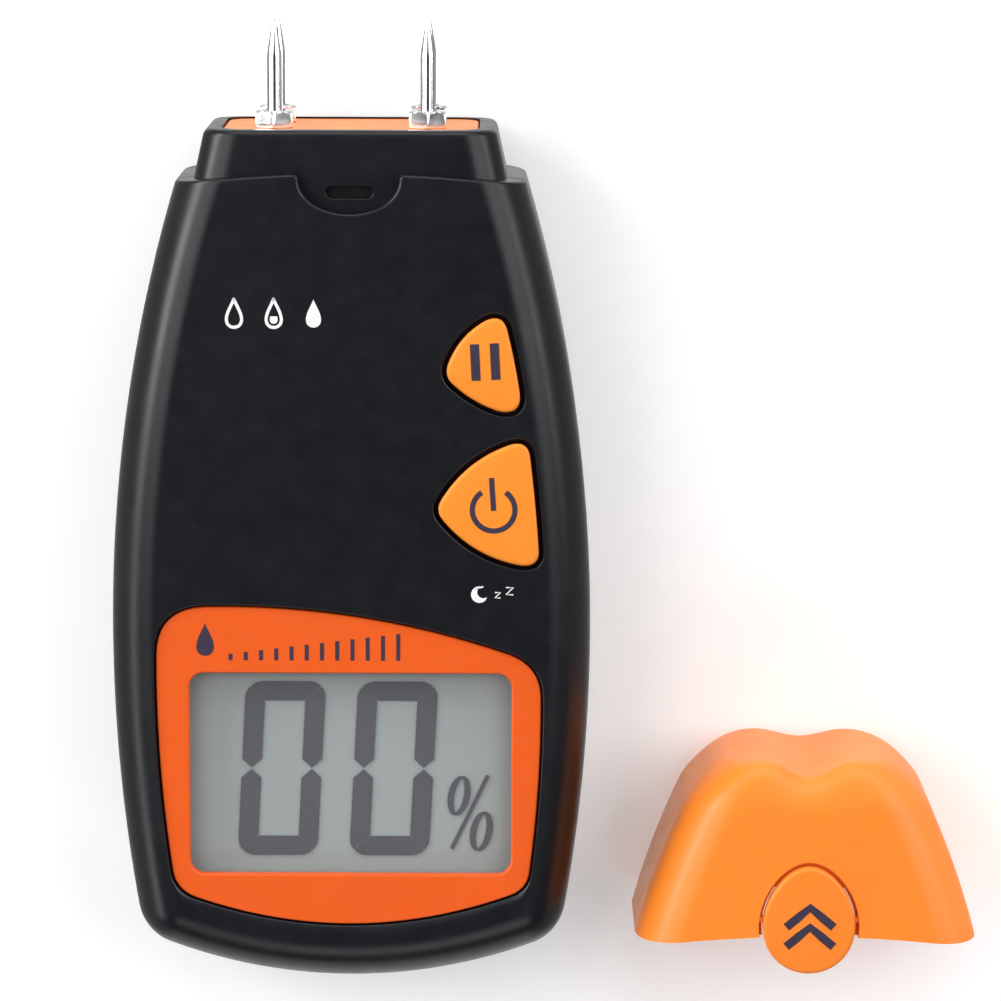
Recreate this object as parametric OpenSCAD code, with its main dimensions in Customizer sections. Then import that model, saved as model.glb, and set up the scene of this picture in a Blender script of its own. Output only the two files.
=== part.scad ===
// Hand-held pin moisture meter, lying on its back, with its protective cap beside it.
// Millimetres. +X to the right of the display, +Y towards the probe pins, +Z out of the display.

/* [Body] */
// Widest width of the body
body_w = 66.6; // [63:0.2:80]
// Length from the bottom end to the outer ends of the shoulder
body_l = 112.2; // [110:0.2:135]
// Thickness from the back face to the front face
body_t = 29; // [28.5:0.5:36]
// Width of the body at the shoulder, where the cap sits
shoulder_w = 48; // [46:0.2:52]
// Wall thickness of both housing halves and of the cap
wall = 2; // [1.7:0.1:2.4]
// Height of the parting plane above the back face
part_z = 13; // [11:0.5:14]
// Rise of the shoulder line towards the middle
shoulder_arch = 1.6; // [0.6:0.1:2]
// Width of the half-round notch under the latch tab
notch_w = 13.7; // [13.2:0.1:16]
// Depth of the notch below the shoulder line
notch_d = 5.5; // [5.4:0.1:7]

/* [Head] */
// Length of the head beyond the shoulder
head_l = 7.2; // [6.4:0.1:8.4]
// Width of the head where it leaves the shoulder
head_w = 43; // [42:0.2:43.4]
// Step between the body's skin and the head's skin
head_step = 2.3; // [2.1:0.1:2.5]

/* [Display] */
// Width of the display opening in the face panel
view_w = 44.5; // [36:0.5:45]
// Height of the display opening in the face panel
view_h = 28.5; // [20:0.5:29]
// Thickness of the face panel
panel_t = 1.2; // [1:0.1:1.3]
// Thickness of the glass of the display cell
lcd_t = 2; // [1.6:0.1:2.2]

/* [Buttons] */
// Gap between each key and its opening
key_gap = 0.6; // [0.3:0.05:0.9]
// Height that each key stands proud of the front face
key_proud = 0.7; // [0.3:0.1:1.5]
// Travel of each key
key_travel = 0.5; // [0.3:0.05:0.6]

/* [Probe pins] */
// Radius of the bare pin
pin_r = 1; // [0.8:0.05:1.15]
// Length of the bare pin, with its cone, beyond its nut
pin_l = 13; // [9:0.5:13.2]
// Length of the cone at the tip
pin_cone = 5.6; // [3:0.2:7]
// Distance between the pins across the head
pin_pitch_x = 21; // [16:0.5:23]
// Distance between the pins from front to back
pin_pitch_z = 9.6; // [8:0.2:11]
// Radius of the threaded shank
shank_r = 1.25; // [1.2:0.05:1.4]
// Width across the flats of each nut
nut_af = 5; // [4.6:0.1:5.5]
// Height of each outer nut
nut_h = 2.4; // [1.8:0.1:2.6]

/* [Cap] */
// Height of the cap from its rim to its humps
cap_h = 25.6; // [25:0.2:30]
// Distance from the meter's centre line to the cap's centre line
cap_x = 63.9; // [60:0.1:90]
// How far the rim of the cap lies below the middle of the body
cap_y = -50.2; // [-60:0.1:40]
// Width of the latch tab
tab_w = 12.8; // [11:0.1:12.9]
// Height of the latch tab
tab_h = 15.2; // [13:0.2:15.4]

/* [Battery] */
// Width of the battery
battery_w = 26.5; // [26:0.1:27]
// Length of the battery's case
battery_l = 46.4; // [44:0.1:47]
// Thickness of the battery
battery_t = 17.3; // [16.5:0.1:17.5]

/* [Hidden] */
$fn = 48;

// Outline of the body: a bottom arc, two corner arcs and a lower and an upper arc on each side
y_bottom = -body_l / 2;
y_shoulder = body_l / 2;
widest_y = -6.9;
bottom_r = 72;
corner_r = 7;
lower_drop = 3.25;           // how far each side draws in from the widest point to the bottom corner
lower_y = y_bottom + 10.2;
front_round = [6.5, 9];      // rounding of the front edge: in from the side, and down from the face
back_round = 4.5;
form_top = y_shoulder + 4;   // the body's form runs on past the shoulder, and the shoulder cuts it

upper_r = (pow(y_shoulder - widest_y, 2) + pow(body_w / 2 - shoulder_w / 2, 2))
        / (body_w - shoulder_w);
lower_r = (pow(lower_y - widest_y, 2) + pow(lower_drop, 2)) / (2 * lower_drop);
upper_c = [body_w / 2 - upper_r, widest_y];
lower_c = [body_w / 2 - lower_r, widest_y];
bottom_c = [0, y_bottom + bottom_r];

function hypot(v) = sqrt(v[0] * v[0] + v[1] * v[1]);
function bearing(v) = atan2(v[1], v[0]);
function on_arc(c, r, a) = [c[0] + r * cos(a), c[1] + r * sin(a)];
function arc_points(c, r, a0, a1, n) = [for (i = [0:n - 1]) on_arc(c, r, a0 + (a1 - a0) * i / n)];
function flip(points) = [for (i = [len(points) - 1:-1:0]) [-points[i][0], points[i][1]]];
function backwards(list) = [for (i = [len(list) - 1:-1:0]) list[i]];

// Lower of the two points at distance r1 from c1 and r2 from c2, with c2 to the right of the line up
function meeting(c1, r1, c2, r2) =
    let (d = hypot(c2 - c1), u = (c2 - c1) / d,
         a = (d * d + r1 * r1 - r2 * r2) / (2 * d), h = sqrt(r1 * r1 - a * a))
    [c1[0] + a * u[0] + h * abs(u[1]), c1[1] + a * u[1] - h * abs(u[0])];

corner_c = meeting(lower_c, lower_r - corner_r, bottom_c, bottom_r - corner_r);
corner_a0 = bearing(corner_c - bottom_c);
corner_a1 = bearing(corner_c - lower_c);

// Right half of the body's outline, drawn in by d, from the bottom middle up to top
function half_outline(d, top) = concat(
    arc_points(bottom_c, bottom_r - d, -90, corner_a0, 7),
    arc_points(corner_c, corner_r - d, corner_a0, corner_a1, 6),
    arc_points(lower_c, lower_r - d, corner_a1, 0, 6),
    arc_points(upper_c, upper_r - d, 0, asin((top - widest_y) / (upper_r - d)), 9),
    [on_arc(upper_c, upper_r - d, asin((top - widest_y) / (upper_r - d)))]);
function outline(d, top) =
    let (half = half_outline(d, top))
    concat(half, [for (i = [len(half) - 1:-1:1]) [-half[i][0], half[i][1]]]);
function ring(d, z, top) = [for (p = outline(d, top)) [p[0], p[1], z]];

// A closed solid through a stack of rings that run anticlockwise, seen from the stack's top
module loft(rings) {
    n = len(rings[0]);
    m = len(rings);
    sides = [for (k = [0:m - 2], i = [0:n - 1])
        [k * n + i, (k + 1) * n + i, (k + 1) * n + (i + 1) % n, k * n + (i + 1) % n]];
    polyhedron(points = [for (r = rings) each r],
        faces = concat([[for (i = [0:n - 1]) i]], sides, [[for (i = [n - 1:-1:0]) (m - 1) * n + i]]));
}

// Body form between two heights, drawn in by skin
module body_form(skin, z0, z1, top) {
    turns = 6;
    front_z = body_t - front_round[1];
    loft(concat(
        z0 < back_round ? [for (i = [0:turns - 1]) let (a = 90 * i / turns)
            ring(skin + (back_round - skin) * (1 - sin(a)), back_round - (back_round - skin) * cos(a), top)]
            : [ring(skin, z0, top)],
        z0 < back_round ? [ring(skin, back_round, top)] : [],
        z1 > front_z ? [for (i = [0:turns]) let (a = 90 * i / turns)
            ring(skin + (front_round[0] - skin) * (1 - cos(a)), front_z + (front_round[1] - skin) * sin(a), top)]
            : [ring(skin, z1, top)]));
}

// Everything below the arched shoulder line, less a margin
shoulder_r = (pow(shoulder_w / 2, 2) + pow(shoulder_arch, 2)) / (2 * shoulder_arch);
module below_shoulder(margin) {
    arch_c = y_shoulder + shoulder_arch - shoulder_r;
    span = shoulder_w / 2 + 8;
    a = asin(span / shoulder_r);
    translate([0, 0, -1]) linear_extrude(body_t + 2)
        polygon(concat([[-body_w, y_bottom - 5], [body_w, y_bottom - 5], [body_w, y_shoulder - 4]],
            [for (i = [0:16]) let (b = 90 - a + 2 * a * i / 16)
                [shoulder_r * cos(b), arch_c - margin + shoulder_r * sin(b)]],
            [[-body_w, y_shoulder - 4]]));
}

module half_space(z0, z1) {
    translate([-body_w, y_bottom - 10, z0]) cube([2 * body_w, body_l + 60, z1 - z0]);
}

// Section across the body's length, clockwise in X and Z: flat back and front, round edges
function section(hw, z0, z1, rb, rf, y) =
    let (n = 5, half = concat([[0, z0]],
            [for (i = [0:n]) let (a = 90 * i / n) [hw - rb + rb * sin(a), z0 + rb - rb * cos(a)]],
            [for (i = [0:n]) let (a = 90 * i / n) [hw - rf[0] + rf[0] * cos(a), z1 - rf[1] + rf[1] * sin(a)]]),
         all = concat(half, [[0, z1]], [for (i = [len(half) - 1:-1:1]) [-half[i][0], half[i][1]]]))
    [for (p = backwards(all)) [p[0], y, p[1]]];

// Head: a tapered block that the cap slides over
head_z0 = head_step - 0.4;
head_z1 = body_t - head_step;
head_top = y_shoulder + head_l;
head_taper = 0.22;
head_foot = y_shoulder - 7.5;
head_round = [5, 5];
head_back_round = 3.6;
function head_half(y) = head_w / 2 - head_taper * (y - y_shoulder);

head_edge = 0.9;
module head_form(y0, y1)
    loft(concat(
        [section(head_half(y0), head_z0, head_z1, head_back_round, head_round, y0)],
        [for (a = [0, 30, 60, 90]) let (d = head_edge * (1 - cos(a)), y = y1 - head_edge + head_edge * sin(a))
            section(head_half(y) - d, head_z0 + d, head_z1 - d, head_back_round - d,
                [head_round[0] - d, head_round[1] - d], y)]));

// Room inside the head for the pins' shanks and strips
module head_cavity(z0, z1) {
    half = head_half(head_top) - inner_skin;
    translate([-half, head_foot - 1, z0]) cube([2 * half, head_top + 2 - head_foot, z1 - z0]);
}

// Probe plate in its groove at the top of the head
plate_t = 2.6;
plate_flange_t = 1.2;
plate_recess = 0.25;
plate_y1 = head_top - plate_recess;
plate_y0 = plate_y1 - plate_t;
plate_hw = 17.5;
plate_z = [head_z0 + 1.3, head_z1 - 2.4];
plate_lip = 0.5;             // how far the flange reaches past the plate
plate_fit = 0.15;
inner_skin = wall + 1.2;     // thickness of the head's walls beside the plate

module plate_slab(grow, y0, y1) {
    r = 3.5 + grow;
    z0 = plate_z[0] - grow;
    z1 = plate_z[1] + grow;
    hw = plate_hw + grow;
    translate([0, y1, 0]) rotate([90, 0, 0]) linear_extrude(y1 - y0)
        for (sx = [-1, 1]) {
            polygon([[0, z0], [sx * (hw - r), z0], [sx * (hw - r), z1], [0, z1]]);
            translate([sx * (hw - r), 0]) intersection() {
                translate([sx > 0 ? 0 : -r, z0]) square([r, z1 - z0]);
                union() {
                    translate([0, z0 + r]) circle(r);
                    translate([0, z1 - r]) circle(r);
                    translate([-r, z0 + r]) square([2 * r, z1 - z0 - 2 * r]);
                }
            }
        }
}

// Rounded outline with bulged sides: corners run anticlockwise, each with the length of its rounding,
// and each side from its corner to the next bulges out by its bulge
function side_point(a, b, bulge, t) =
    let (d = b - a, out = [d[1], -d[0]] / hypot(d))
    a + d * t + out * bulge * 4 * t * (1 - t);
function bezier(a, b, c, t) = a * (1 - t) * (1 - t) + b * 2 * t * (1 - t) + c * t * t;
function soft_polygon(corners, bulges, cuts, steps = 8, turns = 5) =
    let (n = len(corners))
    [for (i = [0:n - 1])
        let (a = corners[(i + n - 1) % n], b = corners[i], c = corners[(i + 1) % n],
             la = hypot(b - a), lc = hypot(c - b), tn = cuts[(i + 1) % n] / lc,
             from = side_point(a, b, bulges[(i + n - 1) % n], 1 - cuts[i] / la),
             onto = side_point(b, c, bulges[i], cuts[i] / lc))
        each concat([for (k = [0:turns - 1]) bezier(from, b, onto, k / turns)],
            [for (k = [0:steps - 1]) side_point(b, c, bulges[i],
                cuts[i] / lc + (1 - cuts[i] / lc - tn) * k / steps)])];

module plate_2d(points, grow = 0) {
    if (grow == 0) polygon(points);
    else offset(r = grow, $fn = 24) polygon(points);
}

module slab(z0, z1) {
    translate([0, 0, z0]) linear_extrude(z1 - z0) children();
}

module rounded_rect(w, h, r) {
    for (sx = [-1, 1], sy = [-1, 1])
        translate([sx * (w / 2 - r), sy * (h / 2 - r)]) circle(r);
    square([w - 2 * r, h], center = true);
    square([w, h - 2 * r], center = true);
}

// Face panel and display, stacked down from the front face
panel_gap = 0.25;
panel_z0 = body_t - 1.6;
panel_floor_t = 1.5;         // floor under the face panel
panel_floor_z = panel_z0 - panel_floor_t;
panel_corners = [[-24.2, y_bottom + 13.9], [24.6, y_bottom + 14.2],
    [26.3, y_bottom + 45.9], [-26.5, y_bottom + 53.7]];
panel_bulges = [4.9, 0.7, 3, 1];
panel_cuts = [2.8, 2.3, 4.4, 6.3];
panel_outline = soft_polygon(panel_corners, panel_bulges, panel_cuts);
view_c = [0.1, y_bottom + 30.5];
view_r = 2;
window_t = 0.8;
window_lip = 1.2;            // how far the clear window reaches past the opening
lcd_z1 = panel_floor_z - 0.1;
lcd_z0 = lcd_z1 - lcd_t;
lcd_w = view_w + 4.5;
lcd_h = view_h + 2.5;
rubber_h = 2;
board_z1 = lcd_z0 - rubber_h;
board_t = 1.2;
board_z0 = board_z1 - board_t;
frame_w = 1.2;

// Keys
hold_outline = soft_polygon([[13, 30.2], [23.7, 24.6], [20.9, 38.8]], [1.1, 0.3, 1.6], [1.4, 3.4, 2.3]);
power_outline = soft_polygon([[11.8, 11.6], [26.1, 3.7], [24.4, 21.4]], [2, 0.2, 1.9], [1.4, 2.4, 2.3]);
hold_at = [18.9, 31.1];
power_at = [20.4, 12.2];
key_flange = 0.75;
flange_z1 = body_t - wall - 0.15;
flange_t = 1;
flange_z0 = flange_z1 - flange_t;
switch_w = 6;
plunger_r = 1.6;
plunger_top = flange_z0 - 0.05;
switch_z1 = plunger_top - key_travel - 0.3;

// Screws and bosses
case_screws_at = [for (sx = [-1, 1]) each [[sx * 20, y_bottom + 8], [sx * 19.8, y_shoulder - 10.8]]];
screw_shank_r = 1.15;
screw_head_r = 2.2;
screw_head_h = 1.6;
screw_seat_z = 4;
boss_r = 2.3;
rear_boss_r = 3.2;
screw_fit = 0.05;
board_top_y = 38;
board_bottom_y = view_c[1] - lcd_h / 2 - 1.2;
board_screws_at = [[-24.5, 4.5], [-19, 33], [4.5, 34], [7, 2.2]];
board_screw_r = 0.9;

// Battery compartment and its door, which slides off past the bottom end on two inner rails
battery_c_y = y_bottom + 34.5;
battery_z0 = wall + 0.15;
snap_l = 3.4;
stud_h = 2.1;
bay_w = battery_w + 1.6;
bay_y0 = battery_c_y - battery_l / 2 - 0.8;
bay_y1 = battery_c_y + battery_l / 2 + stud_h + snap_l + 1.4;
bay_wall = 2.4;
bay_top = battery_z0 + battery_t + 0.1;
door_gap = 0.25;
door_w = battery_w + 2.4;
door_y1 = bay_y1 + 0.8;
door_z0 = 0.15;
door_seat = 0.05;            // play between the rails and the back wall
rail_reach = 1.15;           // how far each rail reaches past the opening
rail_t = 0.95;
rail_fit = 0.1;
rail_x0 = battery_w / 2 + 0.2;
rail_x1 = door_w / 2 + rail_reach;
grip_grooves = 5;

// Latch tab of the cap
tab_c_y = 4;
tab_t = 2;
tab_proud = 0.3;
tab_gap = 0.55;
tab_z0 = body_t + tab_proud - tab_t;
latch_slot = [6.4, 1.7];
latch_slot_depth = 1.2;
latch_slot_y = y_shoulder - 1.15;
pivot_y = tab_c_y;
pivot_z = body_t - 1.2;
pivot_r = 0.5;
pivot_fit = 0.05;
pivot_l = 1.3;

// The whole set is centred on its own footprint
set_x = (cap_x + shoulder_w / 2 - body_w / 2) / 2;
pin_tip = plate_y1 + nut_h + pin_l;
set_y = (pin_tip + y_bottom) / 2;
module in_frame() translate([-set_x, -set_y, 0]) children();

BLACK = [0.09, 0.1, 0.12];
KEY_ORANGE = [1, 0.58, 0.14];
PANEL_ORANGE = [0.95, 0.36, 0.09];
STEEL = [0.8, 0.82, 0.84];
BRASS = [0.8, 0.64, 0.3];

// ---- Housing ----

module notch_cut(z0, z1) {
    top = y_shoulder + shoulder_arch;
    slab(z0, z1) polygon(concat([[notch_w / 2, top + 2], [-notch_w / 2, top + 2]],
        [for (i = [0:20]) let (a = 180 + 9 * i)
            [notch_w / 2 * cos(a), top + notch_d * sin(a)]]));
}

module front_shell() color(BLACK) difference() {
    union() {
        intersection() {
            difference() {
                body_form(0, part_z, body_t, form_top);
                body_form(wall, part_z - 1, body_t - wall, form_top - 1);
            }
            below_shoulder(0);
        }
        intersection() {
            body_form(0.5, part_z, body_t - 0.5, form_top);
            difference() {
                below_shoulder(0);
                below_shoulder(wall);
            }
        }
        intersection() {
            head_form(head_foot, head_top);
            half_space(part_z, body_t);
        }
        slab(panel_floor_z, body_t - wall) plate_2d(panel_outline, 0.9);
        for (p = case_screws_at) translate([p[0], p[1], part_z + 0.05])
            cylinder(r = boss_r, h = body_t - wall - part_z);
        for (p = board_screws_at) translate([p[0], p[1], board_z1 + 0.05])
            cylinder(r = boss_r - 0.3, h = body_t - wall - board_z1);
    }
    head_cavity(part_z - 1, head_z1 - inner_skin);
    plate_slab(plate_fit, plate_y0, head_top + 1);
    plate_slab(plate_lip + plate_fit, plate_y0 - 0.05, plate_y0 + plate_flange_t + 0.05);
    notch_cut(head_z1, body_t + 1);
    slab(head_z1 - latch_slot_depth, head_z1 + 1) translate([0, latch_slot_y]) {
        square([latch_slot[0] - latch_slot[1], latch_slot[1]], center = true);
        for (sx = [-1, 1]) translate([sx * (latch_slot[0] - latch_slot[1]) / 2, 0]) circle(latch_slot[1] / 2);
    }
    slab(panel_z0, body_t + 1) plate_2d(panel_outline, panel_gap);
    slab(panel_floor_z - 1, body_t) translate(view_c)
        rounded_rect(view_w + 2 * window_lip + 0.4, view_h + 2 * window_lip + 0.4, 1.5);
    slab(panel_floor_z - 1, body_t + 1) plate_2d(hold_outline, key_gap);
    slab(panel_floor_z - 1, body_t + 1) plate_2d(power_outline, key_gap);
    for (p = case_screws_at) translate([p[0], p[1], part_z - 1])
        cylinder(r = screw_shank_r + screw_fit, h = 9);
    for (p = board_screws_at) translate([p[0], p[1], board_z1 - 1])
        cylinder(r = board_screw_r + screw_fit, h = 5);
}

module rear_shell() color(BLACK) difference() {
    union() {
        intersection() {
            difference() {
                body_form(0, 0, part_z, form_top);
                body_form(wall, wall, part_z + 1, form_top - 1);
            }
            below_shoulder(0);
        }
        intersection() {
            body_form(0.5, 0.5, part_z, form_top);
            difference() {
                below_shoulder(0);
                below_shoulder(wall);
            }
        }
        intersection() {
            head_form(head_foot, head_top);
            half_space(0, part_z);
        }
        translate([-bay_w / 2 - bay_wall, bay_y0 - bay_wall, wall - 0.5])
            cube([bay_w + 2 * bay_wall, bay_y1 - bay_y0 + 2 * bay_wall, bay_top - wall + 0.5]);
        for (p = case_screws_at) translate([p[0], p[1], 0.6])
            cylinder(r = rear_boss_r, h = part_z - 0.6);
    }
    head_cavity(head_z0 + inner_skin, part_z + 1);
    plate_slab(plate_fit, plate_y0, head_top + 1);
    plate_slab(plate_lip + plate_fit, plate_y0 - 0.05, plate_y0 + plate_flange_t + 0.05);
    translate([-bay_w / 2, bay_y0, -1]) cube([bay_w, bay_y1 - bay_y0, body_t]);
    translate([-door_w / 2, y_bottom - 1, -1]) cube([door_w, door_y1 - y_bottom + 1, 1 + wall + door_seat + rail_t / 2]);
    translate([-rail_x1 - rail_fit, y_bottom - 1, wall])
        cube([2 * (rail_x1 + rail_fit), door_y1 - y_bottom + 1, door_seat + rail_t + rail_fit]);
    for (sx = [-1, 1]) translate([sx * 6 - 1.2, bay_y1 - 1, battery_z0 + battery_t / 2])
        cube([2.4, 4, body_t]);
    for (p = case_screws_at) translate([p[0], p[1], -1]) {
        cylinder(r = screw_head_r + 0.2, h = 1 + screw_seat_z);
        cylinder(r = screw_shank_r + screw_fit + 0.2, h = body_t);
    }
}

module battery_door() color(BLACK) difference() {
    intersection() {
        body_form(0, 0, back_round + 1, form_top);
        union() {
            translate([-door_w / 2 + door_gap, y_bottom - 1, door_z0])
                cube([door_w - 2 * door_gap, door_y1 - door_gap - y_bottom + 1, wall + 0.1 - door_z0]);
            for (sx = [-1, 1]) translate([sx > 0 ? rail_x0 : -rail_x1, y_bottom - 1, wall + door_seat])
                cube([rail_x1 - rail_x0, door_y1 - door_gap - y_bottom + 1, rail_t]);
            translate([-rail_x1, y_bottom - 1, wall + door_seat])
                cube([2 * rail_x1, bay_y0 - bay_wall - y_bottom, rail_t]);
        }
    }
    for (i = [0:grip_grooves - 1]) translate([-7 + 0.5 * i, y_bottom + 7 + 1.9 * i, -1])
        cube([14 - i, 0.9, 1 + door_z0 + 0.45]);
}

// ---- Front face ----

module face_panel() color(PANEL_ORANGE) difference() {
    slab(panel_z0, panel_z0 + panel_t) plate_2d(panel_outline);
    slab(panel_z0 - 1, body_t) translate(view_c) rounded_rect(view_w, view_h, view_r);
}

module display_window() color([0.85, 0.9, 0.9, 0.35])
    slab(panel_z0 - window_t - 0.02, panel_z0 - 0.02) translate(view_c)
        rounded_rect(view_w + 2 * window_lip, view_h + 2 * window_lip, 1.3);

module lcd_glass() color([0.62, 0.66, 0.65])
    slab(lcd_z0, lcd_z1) translate(view_c) square([lcd_w, lcd_h], center = true);

module lcd_frame() color([0.92, 0.92, 0.9]) difference() {
    slab(board_z1 + 0.02, lcd_z1) translate(view_c)
        square([lcd_w + 2 * frame_w, lcd_h + 2 * frame_w - 1], center = true);
    slab(board_z1 - 1, body_t) translate(view_c) square([lcd_w + 0.3, lcd_h + 0.3], center = true);
}

module contact_rubbers() color([0.85, 0.5, 0.6])
    for (sy = [-1, 1]) slab(board_z1 + 0.02, lcd_z0 - 0.02)
        translate([0, view_c[1] + sy * (lcd_h / 2 - 1.4)]) square([lcd_w - 4, 1.8], center = true);

module key(points, at) color(KEY_ORANGE) {
    slab(flange_z0, flange_z1) plate_2d(points, key_flange);
    slab(flange_z1 - 0.01, body_t + key_proud - 0.4) plate_2d(points);
    slab(body_t + key_proud - 0.41, body_t + key_proud) plate_2d(points, -0.4);
}
module hold_key() key(hold_outline, hold_at);
module power_key() key(power_outline, power_at);

module plunger(at) color([0.12, 0.12, 0.12])
    translate([at[0], at[1], switch_z1 - 0.5]) cylinder(r = plunger_r, h = plunger_top - switch_z1 + 0.5);
module hold_plunger() plunger(hold_at);
module power_plunger() plunger(power_at);

module tact_switch(at) color(STEEL) difference() {
    translate([at[0] - switch_w / 2, at[1] - switch_w / 2, board_z1 + 0.02])
        cube([switch_w, switch_w, switch_z1 - board_z1 - 0.02]);
    translate([at[0], at[1], switch_z1 - 0.7 - key_travel])
        cylinder(r = plunger_r + 0.1, h = 3);
}
module hold_switch() tact_switch(hold_at);
module power_switch() tact_switch(power_at);

// ---- Board ----

module main_board() color([0.1, 0.36, 0.2]) difference() {
    slab(board_z0, board_z1) intersection() {
        polygon(outline(wall + 2, form_top));
        translate([-body_w, board_bottom_y]) square([2 * body_w, board_top_y - board_bottom_y]);
    }
    for (p = board_screws_at) translate([p[0], p[1], board_z0 - 1])
        cylinder(r = board_screw_r + 0.15, h = board_t + 2);
}

module controller_chip() color([0.06, 0.06, 0.07]) {
    translate([-10, 17, board_z1 + 0.02]) difference() {
        linear_extrude(1.8) square([10, 10], center = true);
        translate([-3.6, 3.6, 1.6]) cylinder(r = 0.6, h = 1);
    }
    for (a = [0, 90, 180, 270], i = [-4:4]) translate([-10, 17, board_z1 + 0.02]) rotate([0, 0, a])
        translate([4.99, i - 0.2, 0]) cube([1.2, 0.4, 0.5]);
}

module amplifier_chips() color([0.06, 0.06, 0.07])
    for (p = [[-20, 22], [-3, 28]]) translate([p[0], p[1], board_z1 + 0.02]) {
        translate([-2, -2.5, 0.1]) cube([4, 5, 1.4]);
        for (sx = [-1, 1], i = [-1.5:1.5]) translate([sx * 2.4 - 0.6, i * 1.2 - 0.2, 0]) cube([1.2, 0.4, 0.4]);
    }

module capacitors() color([0.15, 0.17, 0.35])
    for (p = [[-21, 12], [0, 7]]) translate([p[0], p[1], board_z1 + 0.02]) {
        cylinder(r = 2, h = 4.2);
        translate([-2.1, -2.1, 0]) cube([4.2, 4.2, 0.5]);
    }

module trimmer() color([0.1, 0.3, 0.7]) translate([-13, 30, board_z1 + 0.02]) difference() {
    translate([-2.3, -2.3, 0]) cube([4.6, 4.6, 2.4]);
    translate([0, 0, 1.9]) cylinder(r = 1.3, h = 1);
}

module crystal() color(STEEL) translate([-10, 6, board_z1 + 0.02]) {
    rotate([0, 90, 0]) translate([-1.5, 0, 0]) cylinder(r = 1.5, h = 7);
}

module resistors() color([0.75, 0.7, 0.6])
    for (i = [0:7]) translate([-18 + 2.6 * i, 1.2, board_z1 + 0.02]) cube([1.25, 2, 0.55]);

// ---- Probe head ----

module pin_holes(r, y0, y1) {
    for (sx = [-1, 1], sz = [-1, 1]) pin_place(sx, sz) translate([0, 0, y0]) cylinder(r = r, h = y1 - y0);
}
mid_z = (plate_z[0] + plate_z[1]) / 2;
// Moves a child that stands along +Z from zero to lie along +Y on a pin's axis
module pin_place(sx, sz)
    translate([sx * pin_pitch_x / 2, 0, mid_z + sz * pin_pitch_z / 2]) rotate([-90, 0, 0]) children();

module probe_plate() color(PANEL_ORANGE) difference() {
    union() {
        plate_slab(0, plate_y0, plate_y1);
        plate_slab(plate_lip, plate_y0, plate_y0 + plate_flange_t);
    }
    pin_holes(shank_r + 0.05, plate_y0 - 1, plate_y1 + 1);
}

strip_t = 0.5;
inner_nut_h = 1.6;
strip_y0 = plate_y0 - 0.02 - strip_t;
inner_nut_y0 = strip_y0 - 0.02 - inner_nut_h;
// Each pin narrows from its threaded shank over a short neck above the nut
pin_neck = 0.3;
module probe_pin(sx, sz) color(STEEL) pin_place(sx, sz) {
    translate([0, 0, inner_nut_y0 - 1]) cylinder(r = shank_r, h = plate_y1 + nut_h - inner_nut_y0 + 1);
    translate([0, 0, plate_y1 + nut_h - 0.01]) cylinder(r1 = shank_r, r2 = pin_r, h = pin_neck + 0.01);
    translate([0, 0, plate_y1 + nut_h + pin_neck - 0.01]) cylinder(r = pin_r, h = pin_l - pin_cone - pin_neck + 0.01);
    translate([0, 0, pin_tip - pin_cone]) cylinder(r1 = pin_r, r2 = 0.12, h = pin_cone);
}
module pin_front_left() probe_pin(-1, 1);
module pin_front_right() probe_pin(1, 1);
module pin_rear_left() probe_pin(-1, -1);
module pin_rear_right() probe_pin(1, -1);

module hex_nuts(y0, h) color(STEEL)
    for (sx = [-1, 1], sz = [-1, 1]) pin_place(sx, sz) translate([0, 0, y0]) difference() {
        intersection() {
            rotate([0, 0, 30]) cylinder(r = nut_af / sqrt(3), h = h, $fn = 6);
            union() {
                cylinder(r = nut_af / sqrt(3) + 0.1, h = h - 0.45);
                translate([0, 0, h - 0.46]) cylinder(r1 = nut_af / sqrt(3) + 0.1, r2 = nut_af / 2 - 0.1, h = 0.46);
            }
        }
        translate([0, 0, -1]) cylinder(r = shank_r + 0.03, h = h + 2);
    }
module probe_nuts() hex_nuts(plate_y1 + 0.01, nut_h - 0.01);
module inner_nuts() hex_nuts(inner_nut_y0, inner_nut_h);

strip_tail = 4;
module contact_strips() color(BRASS) difference() {
    for (sx = [-1, 1]) {
        translate([sx * pin_pitch_x / 2 - 2.4, strip_y0, mid_z - pin_pitch_z / 2 - 2.8])
            cube([4.8, strip_t, pin_pitch_z + 5.6]);
        translate([sx * (pin_pitch_x / 2 - 2.4) - (sx > 0 ? strip_t : 0), strip_y0 - strip_tail, mid_z - 1.5])
            cube([strip_t, strip_tail + 0.01, 3]);
    }
    pin_holes(shank_r + 0.05, strip_y0 - 1, strip_y0 + strip_t + 0.5);
}

// Wires: a tube swept along a smooth line through its points
wire_r = 0.6;
function smooth(p, i, t) =
    let (n = len(p), a = p[max(i - 1, 0)], b = p[i], c = p[min(i + 1, n - 1)], d = p[min(i + 2, n - 1)])
    0.5 * (2 * b + (c - a) * t + (2 * a - 5 * b + 4 * c - d) * t * t + (3 * b - a - 3 * c + d) * t * t * t);
function unit(v) = v / norm(v);
module wire(points) {
    per = 3;
    line = concat([for (i = [0:len(points) - 2], k = [0:per - 1]) smooth(points, i, k / per)],
        [points[len(points) - 1]]);
    n = len(line);
    rings = [for (i = [0:n - 1])
        let (along = unit(line[min(i + 1, n - 1)] - line[max(i - 1, 0)]),
             u = unit(cross(along, [0.3, 1, 0.2])), v = cross(along, u))
        [for (k = [0:7]) line[i] + wire_r * (cos(45 * k) * u + sin(45 * k) * v)]];
    loft(rings);
}

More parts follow.
